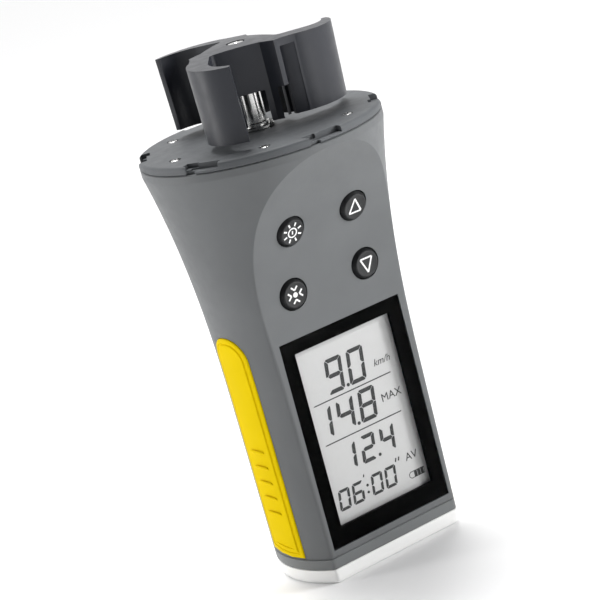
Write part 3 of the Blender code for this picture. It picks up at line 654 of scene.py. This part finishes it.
def make_housing():
    """Flared housing in one skin, with its window recess, holes and bays."""
    soft, lap = 0.25, 0.1
    low, high = HOUSING_LOW - lap, HOUSING_HIGH + lap
    heights = spread(low + soft, 60.0, 10) + spread(64.0, 100.0, 24) + spread(101.2, 112.0, 14)
    heights += spread(112.5, 114.3, 8) + [114.6, 115.0, high - soft]
    outer = [section(low, soft)] + [section(z) for z in heights] + [section(high, soft)]
    inner = [section(z, WALL) for z in (high, 106.0, 90.0, 75.0, 60.0, low)]
    shell = loft("housing_body", outer + inner, ends_meet=True)
    recess_half, recess_back = WINDOW_HALF + SEAM, -FRONT_DEPTH + 1.4
    door_half = DOOR_HALF + SEAM
    tools = [
        box("recess", (-recess_half, -20.0, WINDOW_LOW - SEAM),
            (recess_half, recess_back, WINDOW_HIGH + SEAM)),
        box("opening", (-16.3, -14.0, 13.0), (16.3, -11.0, 64.0)),
        box("bay", (-door_half, 12.0, DOOR_LOW - SEAM), (door_half, 40.0, DOOR_HIGH + SEAM)),
    ]
    for name in BUTTONS:
        tools.append(disc(name + "_hole", BUTTON_HOLE, -6.0, 4.0, 72, button_frame(name)))
    for side in (-1, 1):
        tools.append(pad("grip_bay", side, ((SEAM, -1.1), (SEAM, 4.0))))
    carve(shell, tools)
    place_piece(shell, "housing", GREY, "body_grey", "housing_shell")


def make_grips():
    """Soft yellow pads with a bevelled border, a raised field and plain ribs."""
    for side, word in ((-1, "left"), (1, "right")):
        steps = ((0.0, -0.8), (0.0, 0.12), (-0.15, 0.32), (-0.4, 0.40), (-1.15, 0.42), (-1.4, 0.16),
                 (-1.6, 0.16), (-1.9, 0.46), (-2.6, 0.50))
        grip = pad("grip_pad_" + word, side, steps)
        place_piece(grip, "housing", YELLOW, "grip_yellow", word + "_grip")
        make_ridges(side, word)


def make_ridges(side, word):
    """Plain raised ribs across each grip's lower half, thinning to their ends."""
    mesh_data = bmesh.new()
    steps, sides, sunk, lift = 12, 8, 0.44, 0.6
    swings = [2.0 * math.pi * k / sides for k in range(sides)]
    for rib in range(RIB_COUNT):
        middle = RIB_LOW + RIB_PITCH * rib
        rings = []
        for i in range(steps + 1):
            part = 2.0 * i / steps - 1.0
            thick = RIB_SIZE * math.sqrt(max(0.04, 1.0 - part ** 6))
            ring = [on_side(side, part * RIB_HALF, middle + thick * math.cos(a),
                            sunk + lift * thick * math.sin(a)) for a in swings]
            rings.append([mesh_data.verts.new(point) for point in ring])
        for lower, upper in zip(rings, rings[1:]):
            skin(mesh_data, lower, upper)
        mesh_data.faces.new(rings[0])
        mesh_data.faces.new(list(reversed(rings[-1])))
    ridges = finish_mesh("grip_ridges_" + word, mesh_data, sharp=60.0)
    place_piece(ridges, "housing", YELLOW, "grip_yellow")


# ---------------------------------------------------------------- display

def front_frame(depth):
    """Frame on a plane facing -Y, with X to the right and Y up as the display is read."""
    return facing((0.0, -depth, 0.0), (0.0, -1.0, 0.0))


def make_window():
    """Black printed border behind a clear pane."""
    border = box("window_border", (-WINDOW_HALF, -BORDER_FRONT, WINDOW_LOW),
                 (WINDOW_HALF, -BORDER_BACK, WINDOW_HIGH), bevel=0.1)
    carve(border, [box("view", (-VIEW_HALF, -20.0, VIEW_LOW), (VIEW_HALF, -10.0, VIEW_HIGH))])
    place_piece(border, "housing", BLACK, "window_black", "display_window")
    pane = box("window_pane", (-WINDOW_HALF, -FRONT_DEPTH, WINDOW_LOW),
               (WINDOW_HALF, -PANE_BACK, WINDOW_HIGH), bevel=0.03)
    place_piece(pane, "housing", PANE, "window_black")


SEGMENTS = {
    "0": "abcdef", "1": "bc", "2": "abged", "3": "abgcd", "4": "fgbc", "5": "afgcd", "6": "afgedc",
    "7": "abc", "8": "abcdefg", "9": "abcdfg",
}
SLANT = 0.118                   # lean of the figures


def digit_outlines(digit, x, z, width, height, stroke):
    """Seven-segment figure with mitred corners; (x, z) is its lower left corner."""
    half, gap, s = height / 2.0, 0.09, stroke
    top = [(gap + s / 2, height), (width - gap - s / 2, height), (width - gap - s / 4, height - s / 4),
           (width - gap - s, height - s), (gap + s, height - s), (gap + s / 4, height - s / 4)]
    side = [(0.0, height - gap - s / 2), (s / 4, height - gap - s / 4), (s, height - gap - s),
            (s, half + s / 2 + gap), (s / 2, half + gap), (0.0, half + gap)]
    middle = [(s / 2 + gap, half), (s + gap, half + s / 2), (width - s - gap, half + s / 2),
              (width - s / 2 - gap, half), (width - s - gap, half - s / 2), (s + gap, half - s / 2)]
    right = [(width - px, pz) for px, pz in side]
    shapes = {"a": top, "f": side, "b": right, "g": middle}
    for key, source in (("d", top), ("e", side), ("c", right)):
        shapes[key] = [(px, height - pz) for px, pz in source]
    return [[(x + px + SLANT * pz, z + pz) for px, pz in shapes[key]] for key in SEGMENTS[digit]]


def figures(text, x, z, width, height, stroke, pitch):
    """Outlines of a row of seven-segment figures; a space leaves room for a colon."""
    outlines = []
    for mark in text:
        if mark != " ":
            outlines += digit_outlines(mark, x, z, width, height, stroke)
        x += pitch if mark != " " else pitch * 0.4
    return outlines


def dot(x, z, size):
    """Outline of a small round mark."""
    return arc_points((x, z), size / 2.0, 0, 330, 11)


def lettering(name, text, x, z, size, shear):
    """Small printed word on the display."""
    curve = bpy.data.curves.new(name, "FONT")
    curve.body = text
    curve.size = size * MM
    curve.shear = shear
    curve.extrude = WORD_HALF * MM
    curve.resolution_u = 6
    pattern = add_object(name, curve)
    bpy.context.view_layer.update()
    mesh = bpy.data.meshes.new_from_object(pattern.evaluated_get(bpy.context.evaluated_depsgraph_get()))
    bpy.data.objects.remove(pattern, do_unlink=True)
    spot = front_frame(LCD_FACE + WORD_LIFT) @ Matrix.Translation((x, z, 0.0))
    spot.translation *= MM
    mesh.transform(spot)
    place_piece(add_object(name, mesh), "housing", LCD_INK, "window_black")


def make_display():
    """Everything drawn on the liquid-crystal panel."""
    rows = {name: figures(*row) + [dot(*mark) for mark in marks]
            for name, (row, marks) in FIGURE_ROWS.items()}
    rows.update({name: [bar(*stroke) for stroke in strokes] for name, strokes in STROKES.items()})
    rows["lcd_battery"] = battery_outlines(*BATTERY_SIGN)
    spot = front_frame(LCD_FACE)
    for name, outlines in rows.items():
        drawn = plates(name, outlines, INK_LOW, INK_HIGH, spot)
        place_piece(drawn, "housing", LCD_INK, "window_black")
    for name, word in WORDS.items():
        lettering(name, *word)


def battery_outlines(x, z):
    """Small battery sign: an outline with its left corners cut off, and three bars."""
    line, bend, inset = 0.2, 0.5, 0.1
    left, right, top = x, x + 5.0, z + 1.7
    strokes = (((left + bend, z), (right, z)), ((left + bend, top), (right, top)), ((right, z), (right, top)),
               ((left, z + bend), (left, top - bend)), ((left, z + bend), (left + bend, z)),
               ((left, top - bend), (left + bend, top)))
    outlines = [bar(a, b, line) for a, b in strokes]
    for i in range(3):
        start = left + 1.6 + 1.1 * i
        end = start + 0.95
        outlines.append([(start, z + inset), (end, z + inset), (end, top - inset), (start, top - inset)])
    return outlines


# ---------------------------------------------------------------- buttons

def ring_outlines(radius, width):
    """A ring drawn as a loop of short plates."""
    steps = 32
    inner = arc_points((0, 0), radius - width / 2.0, 0, 360, steps)
    outer = arc_points((0, 0), radius + width / 2.0, 0, 360, steps)
    return [[inner[i], outer[i], outer[i + 1], inner[i + 1]] for i in range(steps)]


def icon_outlines(name):
    """White sign on a button."""
    if name == "light":
        rays = [bar(turned_point((1.85, 0), a), turned_point((2.95, 0), a), SIGN_STROKE)
                for a in (22.5 + 45.0 * i for i in range(8))]
        return ring_outlines(1.25, FINE_STROKE) + rays + [bar((0, -0.5), (0, 0.5), FINE_STROKE)]
    if name == "centre":
        chevrons = []
        for a in (0, 90, 180, 270):
            tip = turned_point((1.25, 0), a)
            chevrons += [bar(tip, turned_point((2.2, wing), a), SIGN_STROKE) for wing in (0.95, -0.95)]
        return [arc_points((0, 0), 0.7, 0, 345, 23)] + chevrons
    flip = 1.0 if name == "up" else -1.0
    corners = [(-1.85, -1.6 * flip), (1.85, -1.6 * flip), (0.0, 2.3 * flip)]
    return [bar(a, b, SIGN_STROKE) for a, b in zip(corners, corners[1:] + corners[:1])]


def make_buttons():
    """Round rubber keys with a rounded rim and a slightly sunk face, and their signs."""
    top, face, edge, sunk = BUTTON_PROUD, 3.2, 0.3, 0.14
    profile = [(0, -5.5), (1.6, -5.5), (1.6, -3.0), (4.9, -3.0), (4.9, -2.3), (BUTTON_RADIUS, -2.3),
               (BUTTON_RADIUS, -0.1)]
    profile += arc_points((face, top - edge), edge, 0, 90, 5)
    profile += [(face - 0.25, top - 0.06), (face - 0.45, top - sunk), (0, top - sunk)]
    for name in BUTTONS:
        spot = button_frame(name)
        key = turned("key_" + name, profile, 72, spot)
        place_piece(key, name + "_button", KEY_DARK, "button_black", "button_" + name)
        sign = plates("sign_" + name, icon_outlines(name), top - 0.15, top - 0.09, spot)
        place_piece(sign, name + "_button", ICON, "base_white")


# ---------------------------------------------------------------- deck

def make_deck():
    """Round deck with a soft edge, six bayonet notches and counterbored screw holes."""
    low, high, edge = HOUSING_HIGH + SEAM + 0.1, DECK_HIGH, 0.8
    over = high + CLEAR
    profile = [(3.2, 113.5), (6.5, 113.5), (6.5, low), (20.8, low), (20.8, 113.2), (22.5, 113.2), (22.5, low),
               (RIM_RADIUS - 0.25, low), (RIM_RADIUS, low + 0.25)]
    profile += arc_points((RIM_RADIUS - edge, high - edge), edge, 0, 90, 5)
    profile += [(3.2, high)]
    deck = turned("deck_disc", profile, 180)
    tools = []
    for angle in NOTCH_ANGLES:
        place = about_z(angle)
        tools.append(box("notch", (29.8, -4.2, high - 1.5), (34.0, 4.2, over), place))
        tools.append(box("notch_lock", (28.9, -6.0, high - 1.15), (31.3, -2.4, over), place))
        tools.append(box("notch_slot", (31.0, -5.4, low - 0.5), (34.0, -2.6, over), place))
    for angle in SCREW_ANGLES:
        tools.append(disc("bore", BORE_RADIUS, high - BORE_DEPTH, over, 32, about_z(angle, SCREW_CIRCLE)))
    carve(deck, tools)
    place_piece(deck, "housing", DECK_GREY, "deck_grey", "deck_plate")


def cross_slot(screw, spot, half, low, high, turn):
    """Cut a cross for the driver in a screw's head; half is its (length, width) halved."""
    length, width = half
    places = [spot @ Matrix.Rotation(a, 4, "Z") for a in (turn, turn + math.pi / 2)]
    carve(screw, [box("slot", (-length, -width, low), (length, width, high), place) for place in places])


def make_deck_screws():
    """Six cross-head screws, each turned to its own angle."""
    head = [(0, 110.0), (0.9, 110.6), (0.9, 117.2), (1.35, 117.2), (1.35, 117.95), (1.2, 118.25),
            (0.8, 118.42), (0, 118.45)]
    for index, angle in enumerate(SCREW_ANGLES):
        spot = about_z(angle, SCREW_CIRCLE)
        screw = turned("screw_%d" % (index + 1), head, 32, spot)
        cross_slot(screw, spot, (0.85, 0.17), 117.9, 119.0, 0.6 + index)
        place_piece(screw, "housing", STEEL, "steel", "deck_screw_%d" % (index + 1))


def make_collar():
    """Polished sleeve round the spindle, with a foot on the deck that has six wrench notches."""
    foot = DECK_HIGH + 0.05
    sleeve = [(1.75, 112.8), (2.9, 112.8), (2.9, foot), (4.4, foot), (4.6, foot + 0.2), (4.6, foot + 0.8),
              (4.4, foot + 1.0), (3.3, foot + 1.0), (3.3, foot + 1.6), (3.1, foot + 1.8), (2.9, foot + 1.8),
              (2.9, 127.9), (2.6, 128.3), (1.75, 128.3)]
    collar = turned("collar_sleeve", sleeve, 72)
    carve(collar, [box("wrench", (3.9, -0.45, foot + 0.3), (6.0, 0.45, foot + 2.0), about_z(60.0 * i))
                   for i in range(6)])
    place_piece(collar, "housing", STEEL, "steel", "spindle_collar")


# ---------------------------------------------------------------- rotor

def three_sectors(sector):
    """Repeat one sector's outline at every vane."""
    return [turned_point(point, 120.0 * turn) for turn in range(3) for point in sector]


def rotor_outline():
    """Plan of the whole rotor at its top plate."""
    sector = [(2.4, -9.2), (5.1, -12.1), (7.2, -11.6)]
    sector += arc_points(VANE_CENTRE, VANE_RADIUS, -105.0, -0.5, 44)
    sector += arc_points(CUP_CENTRE, CUP_RADIUS, -17.0, -90.0, 30)
    sector += arc_points(CUP_CORNER, CUP_CORNER_RADIUS, -90.0, -175.0, 10)
    return three_sectors(sector)


def cavity_outline():
    """Plan of the hollow under the rotor's top."""
    outer = VANE_RADIUS - ROTOR_WALL
    inner = CUP_RADIUS + ROTOR_WALL
    across = Vector(CUP_CENTRE) - Vector(VANE_CENTRE)
    along = (outer ** 2 - inner ** 2 + across.length_squared) / (2.0 * across.length)
    height = math.sqrt(outer ** 2 - along ** 2)
    unit = across.normalized()
    tip = Vector(VANE_CENTRE) + unit * along + Vector((unit.y, -unit.x)) * height
    outer_end = math.degrees(math.atan2(tip.y - VANE_CENTRE[1], tip.x - VANE_CENTRE[0]))
    inner_start = math.degrees(math.atan2(tip.y - CUP_CENTRE[1], tip.x - CUP_CENTRE[0]))
    sector = [(3.0, -8.1), (4.8, -10.2)]
    sector += arc_points(VANE_CENTRE, outer, -137.0, outer_end, 30)
    sector += arc_points(CUP_CENTRE, inner, inner_start, -90.0, 20)[1:]
    sector += [(9.9, -7.4), (7.5, -5.2)]
    return three_sectors(sector)


def groove_outline():
    """Plan of the groove that sets one vane off from the hub below the top plate."""
    side = arc_points(VANE_CENTRE, VANE_RADIUS, -126.0, -108.0, 6)
    return [(6.1, -14.0), (6.9, -9.4)] + side + [(11.6, -14.0)]


def make_rotor():
    """Three cups round a hollow hub, the top falling gently from the hub to the tips."""
    rest = about_z(ROTOR_REST)
    wheel = prism("rotor_cups", rotor_outline(), ROTOR_LOW, 145.0, rest, ROTOR_DRAFT)
    reach, under = 40.0, 100.0
    fall = (ROTOR_HIGH - ROTOR_TIP_HIGH) / ROTOR_RADIUS
    cone = ((0, under), (reach, under), (reach, ROTOR_HIGH - fall * reach), (0, ROTOR_HIGH))
    carve(wheel, [turned("top_form", cone, 96)], "INTERSECT")
    plate_low, foot = ROTOR_TIP_HIGH - ROTOR_PLATE, ROTOR_LOW - CLEAR
    tools = [prism("hollow", cavity_outline(), foot, plate_low, rest, ROTOR_DRAFT),
             disc("hub_hole", 2.5, 137.0, 145.0)]
    for turn in range(3):
        place = about_z(ROTOR_REST + 120.0 * turn)
        tools.append(prism("groove", groove_outline(), foot, plate_low, place, ROTOR_DRAFT))
        tools.append(box("window", (4.6, -1.5, foot), (12.0, 5.0, HUB_CUT_HIGH), place))
        tools.append(box("slot", (3.6, -14.0, foot), (7.4, -7.6, HUB_CUT_HIGH), place))
    carve(wheel, tools)
    soften(wheel, ROTOR_ROUNDING, 35.0, 20.0)
    place_piece(wheel, "rotor", ROTOR_DARK, "rotor_black", "rotor_wheel")
    cap = [(0, 140.7), (2.2, 140.7), (2.2, 141.0), (2.0, 141.15), (0.8, 141.15), (0.5, 140.95), (0, 140.95)]
    place_piece(turned("hub_button", cap, 48), "rotor", STEEL, "steel", "hub_cap")


# ---------------------------------------------------------------- base

def make_band():
    """Grey band between the housing and the white foot."""
    gap, soft = SEAM / 2.0, 0.2
    low, high = BAND_LOW - 0.15 + gap, HOUSING_LOW - 0.1 - gap
    ring = [section(low, soft), section(low + soft), section(high - soft), section(high, 0.25),
            section(high, 1.5)]
    band = loft("bottom_ring", ring, sharp=40.0)
    carve(band, [disc("socket_hole", SOCKET_RADIUS, -CLEAR, 9.0, 64)])
    place_piece(band, "housing", BAND_GREY, "deck_grey", "bottom_band")


def make_foot():
    """White foot with a soft lower edge, holed for the tripod thread and two screws."""
    top = BASE_TOP + 0.15 - SEAM / 2.0
    steps = [(0.0, 1.1), (0.08, 0.75), (0.25, 0.48), (0.55, 0.26), (1.0, 0.12), (1.8, 0.04), (2.8, 0.0),
             (top - 0.15, 0.0), (top, 0.15)]
    foot = loft("foot", [section(z, inset) for z, inset in steps], sharp=40.0)
    tools = [disc("socket_hole", SOCKET_RADIUS, -CLEAR, 9.0, 64)]
    for side in (-1, 1):
        tools.append(disc("screw_hole", 2.6, -CLEAR, 2.0, 40, base_screw_place(side)))
    carve(foot, tools)
    place_piece(foot, "housing", WHITE, "base_white", "base_plate")


def base_screw_place(side):
    """Where the screw on one side of the base stands."""
    return Matrix.Translation((side * BASE_SCREW[0], BASE_SCREW[1], 0.0))


def make_base_fittings():
    """Tripod thread and two cross-head screws underneath."""
    thread = [(0, 9.2), (3.1, 9.2)]
    for turn in range(THREAD_TURNS):
        z = 8.9 - THREAD_PITCH * turn
        thread += [(3.1, z), (2.75, z - 0.35), (2.75, z - 0.5), (3.1, z - 0.85)]
    thread += [(3.3, 0.3), (4.8, 0.3), (5.0, 0.5), (5.0, 10.2), (0, 10.2)]
    place_piece(turned("thread_insert", thread, 64), "housing", BRASS, "brass", "tripod_insert")
    head = [(0, 9.5), (1.2, 9.0), (1.2, 1.7), (2.2, 1.7), (2.2, 0.9), (1.9, 0.55), (0, 0.5)]
    for index, side in enumerate((-1, 1)):
        spot = base_screw_place(side)
        screw = turned("foot_screw_%d" % (index + 1), head, 40, spot)
        cross_slot(screw, spot, (1.3, 0.25), 0.0, 1.2, 0.4)
        place_piece(screw, "housing", STEEL, "steel", "base_screw_%d" % (index + 1))


# ---------------------------------------------------------------- battery bay

def patch_grid(size, margin, rise):
    """Rows of points over a plate on the housing's back, pulled in by margin and lifted by rise."""
    half, low, high = size
    grid = []
    for j in range(PATCH_ROWS + 1):
        z = low + margin + (high - low - 2 * margin) * j / PATCH_ROWS
        across = [(half - margin) * (1.0 - 2.0 * i / PATCH_COLUMNS) for i in range(PATCH_COLUMNS + 1)]
        grid.append([(x, math.sqrt((body_radius(z) + rise) ** 2 - x * x), z) for x in across])
    return grid


def grid_rim(grid):
    """A grid's edge points in order."""
    right = [row[-1] for row in grid[1:-1]]
    left = [row[0] for row in reversed(grid[1:-1])]
    return grid[0] + right + list(reversed(grid[-1])) + left


def fill_grid(mesh_data, grid, verts, turn):
    """Cover a grid with quads, adding the points it hasn't got; turn gives a quad's corners in order."""
    for j in range(PATCH_ROWS):
        for i in range(PATCH_COLUMNS):
            corners = [grid[j + a][i + b] for a, b in turn]
            for point in corners:
                if point not in verts:
                    verts[point] = mesh_data.verts.new(point)
            mesh_data.faces.new([verts[point] for point in corners])


def back_patch(name, size, thick, soft):
    """Curved plate on the back of the housing, with edges that roll in over the soft width."""
    mesh_data = bmesh.new()
    front = patch_grid(size, soft, 0.0)
    verts = {}
    fill_grid(mesh_data, front, verts, ((0, 0), (0, 1), (1, 1), (1, 0)))
    loops = [[verts[point] for point in grid_rim(front)]]
    for margin, rise in ((soft * 0.3, -soft * 0.3), (0.0, -soft), (0.0, -thick)):
        loops.append([mesh_data.verts.new(point) for point in grid_rim(patch_grid(size, margin, rise))])
    for lower, upper in zip(loops, loops[1:]):
        skin(mesh_data, lower, upper)
    inside = patch_grid(size, 0.0, -thick)
    fill_grid(mesh_data, inside, dict(zip(grid_rim(inside), loops[-1])), ((0, 0), (1, 0), (1, 1), (0, 1)))
    return finish_mesh(name, mesh_data, sharp=35.0)


def make_door():
    """Battery door with finger grooves."""
    door = back_patch("door_cover", (DOOR_HALF, DOOR_LOW, DOOR_HIGH), DOOR_THICK, 0.25)
    grooves = []
    for i in range(GROOVE_COUNT):
        z, half = GROOVE_LOW + GROOVE_PITCH * i, 5.0 - 0.35 * abs(i - GROOVE_COUNT // 2)
        grooves.append(box("groove", (-half, 24.9, z), (half, 30.0, z + 0.8), bevel=0.2))
    carve(door, grooves)
    place_piece(door, "door", GREY, "body_grey", "battery_door")


def make_cells():
    """Two cells, each with a flat foot, a sleeve with rolled ends and a raised top contact."""
    radius = CELL_RADIUS
    for index in (1, 2):
        low, high = low_of("battery_%d" % index), high_of("battery_%d" % index)
        foot, top = low.z, high.z
        body = top - 1.2
        profile = [(0, foot), (4.2, foot), (4.3, foot + 0.2), (radius - 0.7, foot + 0.2),
                   (radius - 0.2, foot + 0.4), (radius, foot + 0.9), (radius, body - 0.9),
                   (radius - 0.2, body - 0.3), (radius - 0.7, body), (5.2, body), (5.0, body - 0.3),
                   (3.0, body - 0.3), (2.7, body), (2.6, top - 0.2), (2.4, top), (0, top)]
        middle = (low + high) / 2.0
        cell = turned("cell_%d" % index, profile, 64, Matrix.Translation((middle.x, middle.y, 0.0)))
        place_piece(cell, "housing", WRAP, "cell_wrap", "battery_%d" % index)


CARRIED = {
    "lcd_panel": LCD, "lcd_backlight": WHITE,
    "main_board": BOARD, "processor_chip": CHIP,
    "keypad_board": BOARD, "keypad_mat": SEAL,
    "switch_1": STEEL, "switch_2": STEEL, "switch_3": STEEL, "switch_4": STEEL,
    "deck_seal": SEAL, "sensor_board": BOARD, "hall_sensor": CHIP,
    "rotor_bush": BRASS, "rotor_magnet": CHIP,
    "spindle": STEEL, "retaining_clip": STEEL,
    "battery_tray": DECK_GREY, "contact_strip": STEEL, "contact_spring_1": STEEL, "contact_spring_2": STEEL,
}


def finish_carried():
    """Give every CAD node that stays in view its procedural material."""
    for name, finish in CARRIED.items():
        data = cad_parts[name].data
        data.materials.clear()
        data.materials.append(finish)


# ---------------------------------------------------------------- stage

def make_camera():
    """Long lens from the front left and above, rolled so that the instrument leans."""
    azimuth, elevation, roll = math.radians(-30.5), math.radians(14.912), math.radians(-15.051)
    rim_height, distance, shift_right, shift_up = 117.73, 621.7, 10.68, -43.93
    back = Vector((math.sin(azimuth) * math.cos(elevation), -math.cos(azimuth) * math.cos(elevation),
                   math.sin(elevation)))
    level = Vector((math.cos(azimuth), math.sin(azimuth), 0.0))
    up = back.cross(level)
    right = level * math.cos(roll) + up * math.sin(roll)
    top = up * math.cos(roll) - level * math.sin(roll)
    place = Vector((0.0, 0.0, rim_height)) + back * distance + right * shift_right + top * shift_up
    turn = Matrix((right, top, back)).transposed().to_4x4()
    turn.translation = place * MM
    lens = bpy.data.cameras.new("camera")
    lens.lens = 144.4
    lens.sensor_width = 36.0
    lens.clip_start = 0.02
    lens.clip_end = 30.0
    bpy.context.scene.camera = add_object("camera", lens, turn)


def make_soft_box(name, position, size, power):
    """Rectangular light aimed at the middle of the object; position and size in millimetres."""
    data = bpy.data.lights.new(name, "AREA")
    data.shape = "RECTANGLE"
    data.size, data.size_y = size[0] * MM, size[1] * MM
    data.energy = power
    middle = Vector((0.0, 0.0, 70.0))
    aim = (Vector(position) - middle).to_track_quat("Z", "Y").to_matrix().to_4x4()
    aim.translation = Vector(position) * MM
    add_object(name, data, aim)


def make_floor():
    """Wide pale floor."""
    mesh_data = bmesh.new()
    bmesh.ops.create_circle(mesh_data, cap_ends=True, segments=96, radius=4000.0)
    floor = finish_mesh("floor", mesh_data)
    made, tree, shader = new_material("floor_paper", (0.93, 0.93, 0.93), 0.8, Specular_IOR_Level=0.1)
    paper = noise(tree, 700.0, 3.0)
    bump(tree, shader, paper.outputs["Fac"], 0.00002)
    floor.data.materials.append(made)


def make_surroundings():
    """White surroundings behind the object, fading to dark in front of it."""
    world = bpy.data.worlds.new("surroundings")
    bpy.context.scene.world = world
    world.use_nodes = True
    tree = world.node_tree
    where = tree.nodes.new("ShaderNodeTexCoord")
    split = tree.nodes.new("ShaderNodeSeparateXYZ")
    ramp = tree.nodes.new("ShaderNodeValToRGB")
    front, behind = ramp.color_ramp.elements
    front.position, front.color = 0.5, (0.05, 0.05, 0.053, 1.0)
    behind.position, behind.color = 0.72, (1.0, 1.0, 1.0, 1.0)
    shift = node(tree, "ShaderNodeMapRange")
    shift.inputs["From Min"].default_value = -1.0
    tree.links.new(where.outputs["Generated"], split.inputs[0])
    tree.links.new(split.outputs["Y"], shift.inputs["Value"])
    tree.links.new(shift.outputs["Result"], ramp.inputs["Fac"])
    tree.links.new(ramp.outputs["Color"], tree.nodes["Background"].inputs["Color"])
    tree.nodes["Background"].inputs["Strength"].default_value = 1.0


def make_lights():
    """Four soft boxes, and a broad sun from behind that whitens the floor."""
    make_soft_box("key_box", (600.0, -520.0, 400.0), (260.0, 260.0), 5.6)
    make_soft_box("left_rim", (-600.0, 420.0, 200.0), (160.0, 420.0), 2.0)
    make_soft_box("top_box", (60.0, 200.0, 760.0), (420.0, 360.0), 1.4)
    make_soft_box("front_fill", (240.0, -900.0, 180.0), (400.0, 400.0), 1.7)
    sky = bpy.data.lights.new("sky_light", "SUN")
    sky.energy = 2.1
    sky.angle = math.radians(35.0)
    towards_sun = Vector((0.15, 0.45, 1.0))
    add_object("sky_light", sky, towards_sun.to_track_quat("Z", "Y").to_matrix().to_4x4())


make_camera()
make_floor()
make_surroundings()
make_lights()
make_housing()
make_grips()
make_window()
make_display()
make_buttons()
make_deck()
make_deck_screws()
make_collar()
make_rotor()
make_band()
make_foot()
make_base_fittings()
make_door()
make_cells()
finish_carried()

bpy.context.scene.view_settings.view_transform = "Standard"
